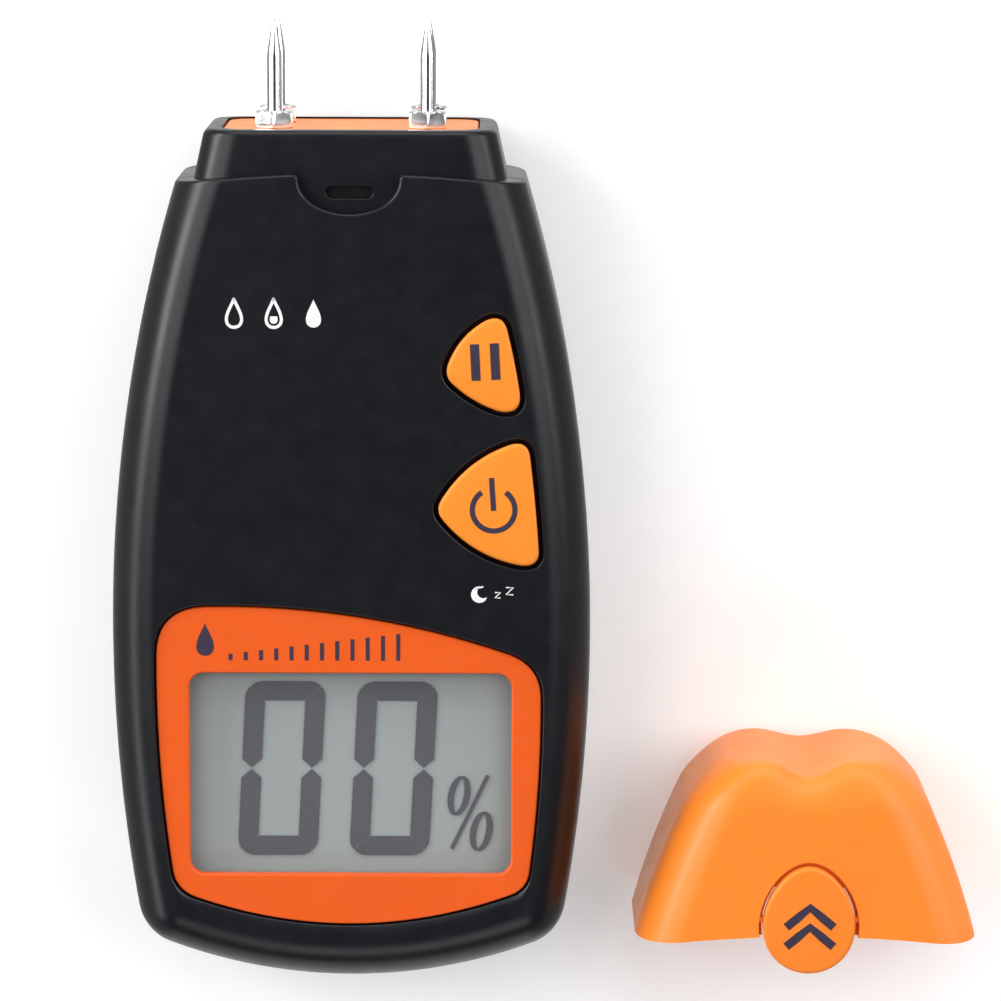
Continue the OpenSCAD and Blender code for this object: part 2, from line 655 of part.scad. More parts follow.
lead_x = pin_pitch_x / 2 - 2.4 - strip_t - wire_r - 0.1;
probe_lead_points = [[lead_x, strip_y0 - 0.4, mid_z], [lead_x, strip_y0 - strip_tail, mid_z], [7.6, 50, 14.5], [9.5, 46, 17],
    [12, 41.5, 20], [13, 39.6, 22.6], [12.6, 37.6, 24], [12, 35.8, 23.4], [12, 35.2, board_z1 + 0.15]];
left_lead_points = [[-lead_x, strip_y0 - 0.4, mid_z], [-lead_x, strip_y0 - strip_tail, mid_z], [-7.2, 50, 14.5], [-7.5, 46, 17],
    [-6, 41.5, 20], [-5.4, 39.6, 22.6], [-5.4, 37.6, 24], [-5.4, 36, 23.4], [-5.4, 35.4, board_z1 + 0.15]];
module probe_lead_left() color([0.9, 0.9, 0.88]) wire(left_lead_points);
module probe_lead_right() color([0.9, 0.75, 0.1]) wire(probe_lead_points);

// ---- Battery ----

battery_y1 = battery_c_y + battery_l / 2;
battery_mid_z = battery_z0 + battery_t / 2;
stud_pitch = 12.7;
module battery() color([0.12, 0.13, 0.15])
    translate([-battery_w / 2, battery_c_y - battery_l / 2, battery_z0])
        cube([battery_w, battery_l, battery_t]);

module battery_studs() color(STEEL) for (sx = [-1, 1])
    translate([sx * stud_pitch / 2, battery_y1 + 0.02, battery_mid_z]) rotate([-90, 0, 0])
        cylinder(r = sx > 0 ? 2.6 : 3.4, h = stud_h - 0.1);

module battery_snap() color([0.1, 0.1, 0.1]) {
    difference() {
        translate([-12.4, battery_y1 + 0.05, battery_mid_z - 5.5]) cube([24.8, stud_h + snap_l, 11]);
        for (sx = [-1, 1]) translate([sx * stud_pitch / 2, battery_y1 - 1, battery_mid_z])
            rotate([-90, 0, 0]) cylinder(r = sx > 0 ? 2.7 : 3.5, h = stud_h + 1);
    }
}

snap_y1 = battery_y1 + 0.05 + stud_h + snap_l;
red_points = [[6, snap_y1 + 0.25, battery_mid_z + 3], [6, snap_y1 + 3.5, battery_mid_z + 4],
    [4, snap_y1 + 9, 14.5], [-4, snap_y1 + 12, 15.6], [-14, snap_y1 + 15, 16.4],
    [-21, snap_y1 + 16, 17.4], [-23, snap_y1 + 15.5, 19], [-23, snap_y1 + 15.5, board_z0 - 0.15]];
black_points = [[-6, snap_y1 + 0.25, battery_mid_z + 3], [-6, snap_y1 + 3.5, battery_mid_z + 4],
    [-8, snap_y1 + 7.5, 14.5], [-13, snap_y1 + 9.5, 15.6], [-18, snap_y1 + 11, 16.4],
    [-21, snap_y1 + 11.5, 17.4], [-23, snap_y1 + 11.5, 19], [-23, snap_y1 + 11.5, board_z0 - 0.15]];
module battery_lead_red() color([0.75, 0.1, 0.08]) wire(red_points);
module battery_lead_black() color([0.08, 0.08, 0.08]) wire(black_points);

module battery_foam() color([0.25, 0.25, 0.27])
    translate([-battery_w / 2 + 2, battery_c_y - battery_l / 2 + 4, battery_z0 + battery_t + 0.02])
        cube([battery_w - 4, battery_l - 8, board_z0 - battery_z0 - battery_t - 0.04]);

// ---- Fasteners ----

module screw(head_r, head_h, shank, length) {
    difference() {
        cylinder(r = head_r, h = head_h);
        for (a = [0, 90]) rotate([0, 0, a]) translate([-head_r * 0.6, -0.3, -0.1])
            cube([head_r * 1.2, 0.6, head_h * 0.55]);
    }
    translate([0, 0, head_h - 0.01]) cylinder(r = shank, h = length);
}
module case_screws() color([0.35, 0.35, 0.37]) for (p = case_screws_at)
    translate([p[0], p[1], screw_seat_z - screw_head_h - 0.02])
        screw(screw_head_r, screw_head_h, screw_shank_r, part_z - screw_seat_z + 7);
module board_screws() color(STEEL) for (p = board_screws_at)
    translate([p[0], p[1], board_z0 - 1.02]) screw(1.8, 1, board_screw_r, board_t + 3.5);

// ---- Cap ----

cap_taper = 0.26;              // slope of each side at the rim
cap_curve = 0.0053;            // and how fast it grows towards the top
cap_front_taper = 0.07;
cap_round = 4.6;             // rounding where the sides meet the top
cap_soften = 2.2;            // how much deeper than wide that rounding is
cap_round_z = 3.2;           // rounding where the front meets the top
hump_x = 6.3;
hump_fall = 0.033;
cap_skin = [wall - 0.1, wall - 0.4, wall - 0.2];   // side, back and front

function valley(z) = 0.9 + 1.5 * z / body_t;
function hump(x, z) = abs(x) > hump_x ? -hump_fall * pow(abs(x) - hump_x, 2)
    : -valley(z) * (1 + cos(180 * x / hump_x)) / 2;
function cap_half(y) = shoulder_w / 2 - cap_taper * max(y, 0) - cap_curve * pow(max(y, 0), 2);
function cap_front(y) = body_t - cap_front_taper * max(y, 0);

// Rings of the cap's form, drawn in by its skin, from low to the top
function cap_rings(side, back, front, low, top) =
    let (rise = cap_round - side, climb = rise + cap_soften, y_round = top - climb,
         edge_fall = hump(cap_half(y_round) - side - rise / 2, body_t / 2), rf = front_round - [side, side],
         levels = [low, 0, 0.2 * y_round, 0.4 * y_round, 0.6 * y_round, 0.8 * y_round, y_round])
    concat(
        [for (y = levels) section(cap_half(y) - side, back, cap_front(y) - front, back_round - side, rf, y)],
        [for (a = [22, 45, 67, 90]) let (y = y_round + climb * sin(a), in = 1 - cos(a))
            [for (p = section(cap_half(y + edge_fall * sin(a)) - side - rise * in,
                    back + (cap_round_z - back) * in,
                    cap_front(y) - front - (cap_round_z - front) * in, back_round - side, rf, y))
                [p[0], p[1] + hump(p[0], p[2]) * sin(a), p[2]]]],
        [for (s = [0.8, 0.58, 0.36, 0.14])
            [for (p = section(cap_half(top + edge_fall) - side - rise, cap_round_z,
                    cap_front(top) - cap_round_z, back_round - side, rf, top))
                let (x = p[0] * s, z = body_t / 2 + (p[2] - body_t / 2) * s) [x, p[1] + hump(x, z), z]]]);

function egg(w, h, n = 40) = [for (i = [0:n - 1]) let (a = 360 * i / n)
    [w / 2 * cos(a) * (1 - 0.13 * sin(a) - 0.03 * sin(a) * sin(a)), h / 2 * sin(a)]];

module cap_place() translate([cap_x, cap_y, 0]) children();

module cap_shell() color(KEY_ORANGE) cap_place() difference() {
    loft(cap_rings(0, 0, 0, -2, cap_h));
    loft(cap_rings(cap_skin[0], cap_skin[1], cap_skin[2], -3, cap_h - 1.5));
    translate([0, -y_shoulder, 0]) below_shoulder(-0.1);
    slab(body_t / 2, body_t + 2) translate([0, tab_c_y]) plate_2d(egg(tab_w, tab_h), tab_gap);
    translate([-tab_w / 2 - pivot_l - 0.1, pivot_y, pivot_z]) rotate([0, 90, 0])
        cylinder(r = pivot_r + pivot_fit, h = tab_w + 2 * pivot_l + 0.2);
}

module cap_latch() color(KEY_ORANGE) cap_place() {
    slab(tab_z0, tab_z0 + tab_t - 0.4) translate([0, tab_c_y]) plate_2d(egg(tab_w, tab_h));
    slab(tab_z0 + tab_t - 0.41, tab_z0 + tab_t) translate([0, tab_c_y]) plate_2d(egg(tab_w, tab_h), -0.4);
    translate([-tab_w / 2 - pivot_l, pivot_y, pivot_z]) rotate([0, 90, 0])
        cylinder(r = pivot_r, h = tab_w + 2 * pivot_l);
    translate([-latch_slot[0] / 2 + 0.6, latch_slot_y - y_shoulder - latch_slot[1] / 2 + 0.3, head_z1 - 0.8])
        cube([latch_slot[0] - 1.2, latch_slot[1] - 0.6, tab_z0 - head_z1 + 1]);
}

in_frame() front_shell();
in_frame() rear_shell();
in_frame() battery_door();
in_frame() face_panel();
in_frame() display_window();
in_frame() lcd_glass();
in_frame() lcd_frame();
in_frame() contact_rubbers();
in_frame() main_board();
in_frame() controller_chip();
in_frame() amplifier_chips();
in_frame() capacitors();
in_frame() trimmer();
in_frame() crystal();
in_frame() resistors();
in_frame() hold_switch();
in_frame() power_switch();
in_frame() hold_plunger();
in_frame() power_plunger();
in_frame() hold_key();
in_frame() power_key();
in_frame() probe_plate();
in_frame() pin_front_left();
in_frame() pin_front_right();
in_frame() pin_rear_left();
in_frame() pin_rear_right();
in_frame() probe_nuts();
in_frame() inner_nuts();
in_frame() contact_strips();
in_frame() probe_lead_left();
in_frame() probe_lead_right();
in_frame() battery();
in_frame() battery_studs();
in_frame() battery_snap();
in_frame() battery_lead_red();
in_frame() battery_lead_black();
in_frame() battery_foam();
in_frame() case_screws();
in_frame() board_screws();
in_frame() cap_shell();
in_frame() cap_latch();
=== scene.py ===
"""A pin moisture meter and its cap, lying on a pale studio floor.

Shapes are worked out in millimetres with the meter's centre line at x = 0 and the middle of its body
at y = 0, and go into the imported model's frame, in metres, as each mesh is made.
"""
from math import atan2, cos, degrees, pi, radians, sin, sqrt, tan

import bmesh
import bpy
from mathutils import Matrix, Vector
from mathutils.bvhtree import BVHTree


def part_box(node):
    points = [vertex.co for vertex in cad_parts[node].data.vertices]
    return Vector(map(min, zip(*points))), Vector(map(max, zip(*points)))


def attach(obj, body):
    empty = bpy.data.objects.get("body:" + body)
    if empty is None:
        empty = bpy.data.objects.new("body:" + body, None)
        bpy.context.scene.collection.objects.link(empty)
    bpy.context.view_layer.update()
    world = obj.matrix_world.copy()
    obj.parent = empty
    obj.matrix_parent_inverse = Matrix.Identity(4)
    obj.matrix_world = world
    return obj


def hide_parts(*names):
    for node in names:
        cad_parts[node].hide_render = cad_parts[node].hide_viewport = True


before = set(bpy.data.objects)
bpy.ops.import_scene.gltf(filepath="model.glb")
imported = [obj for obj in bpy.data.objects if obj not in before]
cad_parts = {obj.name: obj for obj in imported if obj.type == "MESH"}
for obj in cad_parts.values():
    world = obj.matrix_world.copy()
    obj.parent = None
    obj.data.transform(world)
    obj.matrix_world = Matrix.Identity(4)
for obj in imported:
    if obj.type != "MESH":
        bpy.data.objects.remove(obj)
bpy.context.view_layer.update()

MM = 0.001


def node_box(name):
    """Lowest and highest corner of a CAD node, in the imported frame, in millimetres."""
    low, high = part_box(name)
    return low / MM, high / MM


# ---- Driving sizes, in millimetres ----

rear_low, rear_high = node_box("rear_shell")
front_high = node_box("front_shell")[1]
plate_low, plate_high = node_box("probe_plate")
cap_low, cap_high = node_box("cap_shell")
key_high = node_box("hold_key")[1]

BODY_L = 112.2
Y_BOTTOM = -BODY_L / 2
Y_SHOULDER = BODY_L / 2
CENTRE_X = (rear_low.x + rear_high.x) / 2
SHIFT = Vector((CENTRE_X, rear_low.y - Y_BOTTOM, 0))
BODY_W = rear_high.x - rear_low.x
BODY_T = front_high.z
PART_Z = rear_high.z
SHOULDER_W = 48.0
SHOULDER_ARCH = 1.6
WALL = 2.0
WIDEST_Y = -6.9
BOTTOM_R = 72.0
CORNER_R = 7.0
LOWER_DROP = 3.25
LOWER_Y = Y_BOTTOM + 10.2
FRONT_ROUND = (6.5, 9.0)
BACK_ROUND = 4.5

HEAD_TOP = front_high.y - SHIFT.y
HEAD_W = 43.0
HEAD_TAPER = 0.22
HEAD_FOOT = Y_SHOULDER - 7.5
HEAD_Z = (1.9, 26.7)
HEAD_SKIN = 3.2
HEAD_BACK_ROUND, HEAD_FRONT_ROUND, HEAD_EDGE = 3.6, 5.0, 0.9
NOTCH_W, NOTCH_D = 13.7, 5.5
SLOT_W, SLOT_H, SLOT_Y, SLOT_DEPTH = 6.4, 1.7, Y_SHOULDER - 1.15, 1.2

PANEL_Z0, PANEL_T = BODY_T - 1.6, 1.2
PANEL_FLOOR = PANEL_Z0 - 1.5
PANEL_GAP = 0.25
PANEL_CORNERS = [(-24.2, Y_BOTTOM + 13.9), (24.6, Y_BOTTOM + 14.2),
                 (26.3, Y_BOTTOM + 45.9), (-26.5, Y_BOTTOM + 53.7)]
PANEL_BULGES = [4.9, 0.7, 3, 1]
PANEL_CUTS = [2.8, 2.3, 4.4, 6.3]
VIEW_C = (0.1, Y_BOTTOM + 30.5)
VIEW_W, VIEW_H, VIEW_R = 44.5, 28.5, 2.0
WINDOW_LIP = 1.2
LCD_TOP = PANEL_FLOOR - 0.1

KEY_GAP = 0.6
KEY_FLANGE = 0.75
KEY_FLANGE_Z = (25.85, 26.85)
KEY_TOP = key_high.z - 0.04
HOLD_CORNERS = ([(13, 30.2), (23.7, 24.6), (20.9, 38.8)], [1.1, 0.3, 1.6], [1.4, 3.4, 2.3])
POWER_CORNERS = ([(11.8, 11.6), (26.1, 3.7), (24.4, 21.4)], [2, 0.2, 1.9], [1.4, 2.4, 2.3])

PIN_R, PIN_L, PIN_CONE = 1.0, 13.0, 5.6
PIN_PITCH = (21.0, 9.6)
PIN_Z = (plate_low.z + plate_high.z) / 2
PIN_PLACES = {f"{row}_{end}": (sx * PIN_PITCH[0] / 2, PIN_Z + sz * PIN_PITCH[1] / 2)
              for row, sz in (("front", 1), ("rear", -1)) for end, sx in (("left", -1), ("right", 1))}
SHANK_R = 1.25
NUT_AF, NUT_H = 5.0, 2.4
PLATE_Y = (plate_low.y - SHIFT.y, plate_high.y - SHIFT.y)
PLATE_HW, PLATE_Z, PLATE_R = 17.5, (3.2, 24.3), 3.5

SCREWS_AT = [(sx * x, y) for sx in (-1, 1) for x, y in ((20, Y_BOTTOM + 8), (19.8, Y_SHOULDER - 10.8))]
BOARD_SCREWS_AT = [(-24.5, 4.5), (-19, 33), (4.5, 34), (7, 2.2)]
BOARD_TOP = 21.8

BAY_W, BAY_Y, BAY_WALL, BAY_TOP = 28.1, (-45.6, 8.5), 2.4, 19.55
DOOR_W, DOOR_Y1, DOOR_GAP = 28.9, 9.3, 0.25
RAIL_X = (13.45, 15.6)
RAIL_Z = (2.05, 3.0)

CAP_H = 25.6
CAP_AT = Vector(((cap_low.x + cap_high.x) / 2 - SHIFT.x, cap_high.y - SHIFT.y - CAP_H, 0))
CAP_TAPER, CAP_CURVE, CAP_FRONT_TAPER = 0.26, 0.0053, 0.07
CAP_ROUND, CAP_ROUND_Z = 4.6, 3.2
CAP_SOFTEN = 2.2
HUMP_X, HUMP_FALL = 6.3, 0.033
CAP_SKIN = (1.9, 1.6, 1.8)
TAB_W, TAB_H, TAB_Y, TAB_T, TAB_GAP = 12.8, 15.2, 4.0, 2.0, 0.55
GROOVE_Z = BODY_T - 1.7
PIVOT_Z, PIVOT_R, PIVOT_L = BODY_T - 1.2, 0.5, 1.3


# ---- Plane geometry ----

def polar(centre, radius, angle):
    a = radians(angle)
    return Vector((centre[0] + radius * cos(a), centre[1] + radius * sin(a)))


def bearing(v):
    return degrees(atan2(v[1], v[0]))


def arc(centre, radius, start, end, count):
    """Points along an arc, without its last one."""
    return [polar(centre, radius, start + (end - start) * i / count) for i in range(count)]


def circle(centre, radius, count=48):
    return arc(centre, radius, 0, 360, count)


def quarter(turns):
    """Sine and cosine at even steps through a quarter turn, with both its ends."""
    angles = [pi / 2 * i / turns for i in range(turns + 1)]
    return [(sin(a), cos(a)) for a in angles]


def meeting(c1, r1, c2, r2, near):
    """The point nearest to near that is r1 from c1 and r2 from c2."""
    c1, c2, near = Vector(c1), Vector(c2), Vector(near)
    line = c2 - c1
    d = line.length
    along = (d * d + r1 * r1 - r2 * r2) / (2 * d)
    across = sqrt(r1 * r1 - along * along)
    base = c1 + line * (along / d)
    side = Vector((-line.y, line.x)) * (across / d)
    return min((base + side, base - side), key=lambda p: (p - near).length)


UPPER_R = ((Y_SHOULDER - WIDEST_Y) ** 2 + (BODY_W / 2 - SHOULDER_W / 2) ** 2) / (BODY_W - SHOULDER_W)
LOWER_R = ((LOWER_Y - WIDEST_Y) ** 2 + LOWER_DROP ** 2) / (2 * LOWER_DROP)
ARCH_R = ((SHOULDER_W / 2) ** 2 + SHOULDER_ARCH ** 2) / (2 * SHOULDER_ARCH)
UPPER_C = Vector((BODY_W / 2 - UPPER_R, WIDEST_Y))
LOWER_C = Vector((BODY_W / 2 - LOWER_R, WIDEST_Y))
BOTTOM_C = Vector((0, Y_BOTTOM + BOTTOM_R))
ARCH_C = Vector((0, Y_SHOULDER + SHOULDER_ARCH - ARCH_R))
CORNER_C = meeting(LOWER_C, LOWER_R - CORNER_R, BOTTOM_C, BOTTOM_R - CORNER_R, (BODY_W / 2, Y_BOTTOM))
CORNER_A = (bearing(CORNER_C - BOTTOM_C), bearing(CORNER_C - LOWER_C))
SHOULDER_FILLET = 0.7


def mirrored(half):
    """A whole outline from its right half, which starts and ends on the centre line."""
    return half + [Vector((-p.x, p.y)) for p in reversed(half[1:-1])]


def body_outline(side, end):
    """The body's outline up to its shoulder, drawn in by side round the body and by end at the shoulder."""
    fillet = SHOULDER_FILLET
    centre = meeting(UPPER_C, UPPER_R - side - fillet, ARCH_C, ARCH_R - end - fillet,
                     (SHOULDER_W / 2, Y_SHOULDER))
    turn = bearing(centre - UPPER_C)
    crest = bearing(centre - ARCH_C)
    return mirrored(
        arc(BOTTOM_C, BOTTOM_R - side, -90, CORNER_A[0], 22)
        + arc(CORNER_C, CORNER_R - side, CORNER_A[0], CORNER_A[1], 16)
        + arc(LOWER_C, LOWER_R - side, CORNER_A[1], 0, 18)
        + arc(UPPER_C, UPPER_R - side, 0, turn, 40)
        + arc(centre, fillet, turn, crest, 6)
        + arc(ARCH_C, ARCH_R - end, crest, 90, 16)
        + [polar(ARCH_C, ARCH_R - end, 90)])


def soft_polygon(corners, bulges, cuts, steps=22, turns=9):
    """Rounded outline with bulged sides: each corner has the length of its rounding."""
    corners = [Vector(c) for c in corners]
    n = len(corners)

    def side_point(i, t):
        a, b = corners[i % n], corners[(i + 1) % n]
        d = b - a
        out = Vector((d.y, -d.x)) / d.length
        return a + d * t + out * (bulges[i % n] * 4 * t * (1 - t))

    points = []
    for i in range(n):
        before = (corners[i] - corners[i - 1]).length
        after = (corners[(i + 1) % n] - corners[i]).length
        start = side_point(i - 1 + n, 1 - cuts[i] / before)
        onto = side_point(i, cuts[i] / after)
        for k in range(turns):
            t = k / turns
            points.append(start * (1 - t) ** 2 + corners[i] * (2 * t * (1 - t)) + onto * t ** 2)
        first, last = cuts[i] / after, 1 - cuts[(i + 1) % n] / after
        points += [side_point(i, first + (last - first) * k / steps) for k in range(steps)]
    return points


def grown(points, distance):
    """A dense anticlockwise loop moved out by distance, which may be a function of the outward normal."""
    n = len(points)
    moved = []
    for i in range(n):
        along = points[(i + 1) % n] - points[i - 1]
        out = Vector((along.y, -along.x)).normalized()
        moved.append(points[i] + out * (distance(out) if callable(distance) else distance))
    return moved


def rounded_rect(centre, width, height, radius, turns=10, steps=6):
    points = []
    for k, (sx, sy) in enumerate(((1, -1), (1, 1), (-1, 1), (-1, -1))):
        corner = (centre[0] + sx * (width / 2 - radius), centre[1] + sy * (height / 2 - radius))
        points += arc(corner, radius, 90 * k - 90, 90 * k, turns)
        here = polar(corner, radius, 90 * k)
        span = (height if k % 2 == 0 else width) - 2 * radius
        heading = Vector((-sin(radians(90 * k)), cos(radians(90 * k))))
        points += [here + heading * (span * i / steps) for i in range(steps)]
    return points


def egg(width, height, grow=0.0, count=96):
    points = []
    for i in range(count):
        a = 2 * pi * i / count
        narrowing = 1 - 0.13 * sin(a) - 0.03 * sin(a) ** 2
        points.append(Vector((width / 2 * cos(a) * narrowing, height / 2 * sin(a) + TAB_Y)))
    return grown(points, grow) if grow else points


def middle_of(points):
    return sum(points, Vector((0, 0))) / len(points)


def level(points, z):
    return [Vector((p[0], p[1], z)) for p in points]


def across(points, y):
    """Plane points stood up across the length."""
    return [Vector((p[0], y, p[1])) for p in points]


def rounded_top(outline, fillet, top, turns=6):
    """Rings up a rounded edge that ends level with top."""
    return [level(grown(outline, -fillet * (1 - c)), top - fillet + fillet * s) for s, c in quarter(turns)]


def crowned_top(outline, fillet, top, crown, shares, power):
    """Rings up a rounded edge and on inwards, where the face rises by crown to top."""
    edge, centre = top - crown, middle_of(outline)
    rim = grown(outline, -fillet)
    return rounded_top(outline, fillet, edge) + [
        level([centre + (p - centre) * share for p in rim], edge + crown * (1 - share ** power))
        for share in shares]


# ---- Meshes ----

def placed(name, data):
    obj = bpy.data.objects.new(name, data)
    bpy.context.scene.collection.objects.link(obj)
    return obj


def edit(mesh, change):
    """Runs change on the mesh's faces, edges and points."""
    bm = bmesh.new()
    bm.from_mesh(mesh)
    change(bm)
    bm.to_mesh(mesh)
    bm.free()


def add_object(name, points, faces):
    mesh = bpy.data.meshes.new(name)
    mesh.from_pydata([(Vector(p) + SHIFT) * MM for p in points], [], faces)
    mesh.validate()
    edit(mesh, lambda bm: bmesh.ops.recalc_face_normals(bm, faces=bm.faces))
    return placed(name, mesh)


def walls(count, steps, rings, start=0):
    """Quads from each of the first rings to the next, where ring 0 comes after the last."""
    return [(start + k * count + i, start + k * count + (i + 1) % count,
             start + (k + 1) % rings * count + (i + 1) % count, start + (k + 1) % rings * count + i)
            for k in range(steps) for i in range(count)]


def loft(name, rings):
    """A closed solid through rings of equal length."""
    n, m = len(rings[0]), len(rings)
    faces = walls(n, m - 1, m) + [tuple(range(n))[::-1], tuple((m - 1) * n + i for i in range(n))]
    return add_object(name, [p for ring in rings for p in ring], faces)


def prism(name, points, z0, z1):
    return loft(name, [level(points, z0), level(points, z1)])


def block(name, low, high):
    corners = [(low[0], low[1]), (high[0], low[1]), (high[0], high[1]), (low[0], high[1])]
    return prism(name, [Vector(c) for c in corners], low[2], high[2])


def rod(name, at, radius, z0, z1):
    return prism(name, circle(at, radius), z0, z1)


def rods(name, places, radius, z0, z1):
    return [rod(name, at, radius, z0, z1) for at in places]


def lathe(name, profile, at, count=64):
    """Solid of revolution about a line along Y through at, from (radius, y) pairs."""
    return loft(name, [across(circle(at, r, count), y) for r, y in profile])


def spindle(name, profile, x, at):
    """Solid of revolution about a line along X through at, from (radius, distance from x) pairs."""
    return loft(name, [[Vector((x + far, p.x, p.y)) for p in circle(at, r, 24)] for r, far in profile])


def combine(base, others, operation):
    """Applies a boolean of base, which keeps its name, with each of the others, which are used up."""
    for other in others:
        step = base.modifiers.new(operation, "BOOLEAN")
        step.operation = operation
        step.solver = "MANIFOLD"
        step.object = other
    bpy.context.view_layer.update()
    graph = bpy.context.evaluated_depsgraph_get()
    mesh = bpy.data.meshes.new_from_object(base.evaluated_get(graph))
    if len(mesh.polygons) == 0:
        raise RuntimeError(f"{base.name}: the {operation} left nothing")
    base.modifiers.clear()
    old = base.data
    base.data = mesh
    mesh.name = old.name
    bpy.data.meshes.remove(old)
    for other in others:
        bpy.data.objects.remove(other)
    edit(mesh, lambda bm: bmesh.ops.remove_doubles(bm, verts=bm.verts, dist=2e-6))
    edit(mesh, lambda bm: bmesh.ops.dissolve_degenerate(bm, edges=bm.edges, dist=1e-6))
    return base


def smooth(obj, angle=32, weighted=True):
    obj.data.shade_smooth()
    obj.data.set_sharp_from_angle(angle=radians(angle))
    if weighted:
        normals = obj.modifiers.new("Weighted normals", "WEIGHTED_NORMAL")
        normals.keep_sharp = True
        normals.weight = 80
    return obj


def bevel(obj, width, segments=2, angle=40):
    step = obj.modifiers.new("Soft edges", "BEVEL")
    step.width = width * MM
    step.segments = segments
    step.limit_method = "ANGLE"
    step.angle_limit = radians(angle)
    step.harden_normals = False
    return obj


def piece(obj, material, body, replaces=()):
    """Gives a piece its material, the body that it rides on and the CAD nodes that it replaces."""
    obj.data.materials.clear()
    obj.data.materials.append(material)
    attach(obj, body)
    if replaces:
        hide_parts(*replaces)
    return obj


def flared(name, points, z0, top, lip, grow=0.0, depth=None):
    """Cutter for an opening with a rounded lip: lip is its width, or a function of the outward normal."""
    depth = lip if depth is None else depth
    rings = [level(grown(points, grow) if grow else points, z0)]
    for s, c in quarter(5):
        def out(normal, share=1 - c):
            return grow + share * (lip(normal) if callable(lip) else lip)
        rings.append(level(grown(points, out), top - depth + depth * s))
    rings.append([p + Vector((0, 0, 1)) for p in rings[-1]])
    return loft(name, rings)


# ---- Forms shared by both housing halves ----

def front_turn(skin, turns=18):
    """(side, z) pairs up the rounding of the front edge."""
    z = BODY_T - FRONT_ROUND[1]
    reach, climb = FRONT_ROUND[0] - skin, FRONT_ROUND[1] - skin
    return [(skin + reach * (1 - c), z + climb * s) for s, c in quarter(turns)]


def back_turn(skin, turns=10):
    """(side, z) pairs up the rounding of the back edge."""
    reach = BACK_ROUND - skin
    return [(skin + reach * (1 - s), BACK_ROUND - reach * c) for s, c in quarter(turns)]


SHOULDER_LIP = 0.45


def lip_at(distance):
    """How far a rounding of SHOULDER_LIP has drawn in at a distance from the face it leads to."""
    if distance >= SHOULDER_LIP:
        return 0.0
    return SHOULDER_LIP - sqrt(SHOULDER_LIP ** 2 - (SHOULDER_LIP - distance) ** 2)


def body_ring(side, z, end=0.0):
    return level(body_outline(side, end), z)


# The parting line is a small step, this deep and this far to each side of PART_Z
SEAM = 0.14


def front_body():
    rings = [body_ring(SEAM, PART_Z, SEAM), body_ring(SEAM, PART_Z + SEAM, SEAM),
             body_ring(0, PART_Z + 0.3)]
    rings += [body_ring(side, z, lip_at(BODY_T - z)) for side, z in front_turn(0)]
    return loft("housing_front", rings)


def rear_body():
    rings = [body_ring(side, z, lip_at(z)) for side, z in back_turn(0)]
    rings += [body_ring(0, PART_Z - 0.3), body_ring(SEAM, PART_Z - SEAM, SEAM), body_ring(SEAM, PART_Z, SEAM)]
    return loft("housing_rear", rings)


def section(half_width, z0, z1, rb, rf, y, turns=10, flats=9):
    """Section across the length: flat back and front, round edges, evenly filled along its flats."""
    half = [(half_width - rb) * i / flats for i in range(flats)]
    points = [(x, z0) for x in half]
    points += [(half_width - rb + rb * s, z0 + rb - rb * c) for s, c in quarter(turns)]
    points += [(half_width - rf[0] + rf[0] * c, z1 - rf[1] + rf[1] * s) for s, c in quarter(turns)]
    points += [((half_width - rf[0]) * (1 - i / flats), z1) for i in range(1, flats)]
    points.append((0, z1))
    return across(points + [(-x, z) for x, z in reversed(points[1:-1])], y)


def ended(name, at, y0, y1, edge, turns):
    """Loft along the length through sections at(y, draw-in), with a rounded edge at its end."""
    rings = [at(y1 - edge + edge * s, edge * (1 - c)) for s, c in quarter(turns)] if edge else [at(y1, 0)]
    return loft(name, [at(y0, 0)] + rings)


def head_section(y, d):
    return section(HEAD_W / 2 - HEAD_TAPER * (y - Y_SHOULDER) - d, HEAD_Z[0] + d, HEAD_Z[1] - d,
                   HEAD_BACK_ROUND - d, (HEAD_FRONT_ROUND - d, HEAD_FRONT_ROUND - d), y)


def plate_form(name, grow, y0, y1, edge=0.0):
    """Rounded slab that stands across the head, or its groove."""
    def at(y, d):
        g = grow - d
        width, height = 2 * (PLATE_HW + g), PLATE_Z[1] - PLATE_Z[0] + 2 * g
        return across(rounded_rect((0, sum(PLATE_Z) / 2), width, height, PLATE_R + g), y)
    return ended(name, at, y0, y1, edge, 5)


def head_cutters(z0, z1):
    """What is cut out of the head: its cavity and the groove of the probe plate."""
    half = HEAD_W / 2 - HEAD_TAPER * (HEAD_TOP - Y_SHOULDER) - HEAD_SKIN
    return [block("head_cavity", (-half, HEAD_FOOT - 1, z0), (half, HEAD_TOP + 1, z1)),
            plate_form("plate_groove", 0.15, PLATE_Y[0], HEAD_TOP + 1),
            plate_form("plate_flange_groove", 0.65, PLATE_Y[0] - 0.05, PLATE_Y[0] + 1.25)]


def half_head(name, z0, z1):
    head = ended(name, head_section, HEAD_FOOT, HEAD_TOP, HEAD_EDGE, 6)
    keep = block("keep", (-BODY_W, HEAD_FOOT - 1, z0), (BODY_W, HEAD_TOP + 1, z1))
    return combine(head, [keep], "INTERSECT")


panel_outline = soft_polygon(PANEL_CORNERS, PANEL_BULGES, PANEL_CUTS, steps=30)
hold_outline = soft_polygon(*HOLD_CORNERS)
power_outline = soft_polygon(*POWER_CORNERS)


def panel_lip(normal):
    """Lip of the panel's recess: narrow, but a wide slope along the bottom."""
    return 0.3 + 1.5 * max(0.0, -normal.y) ** 4


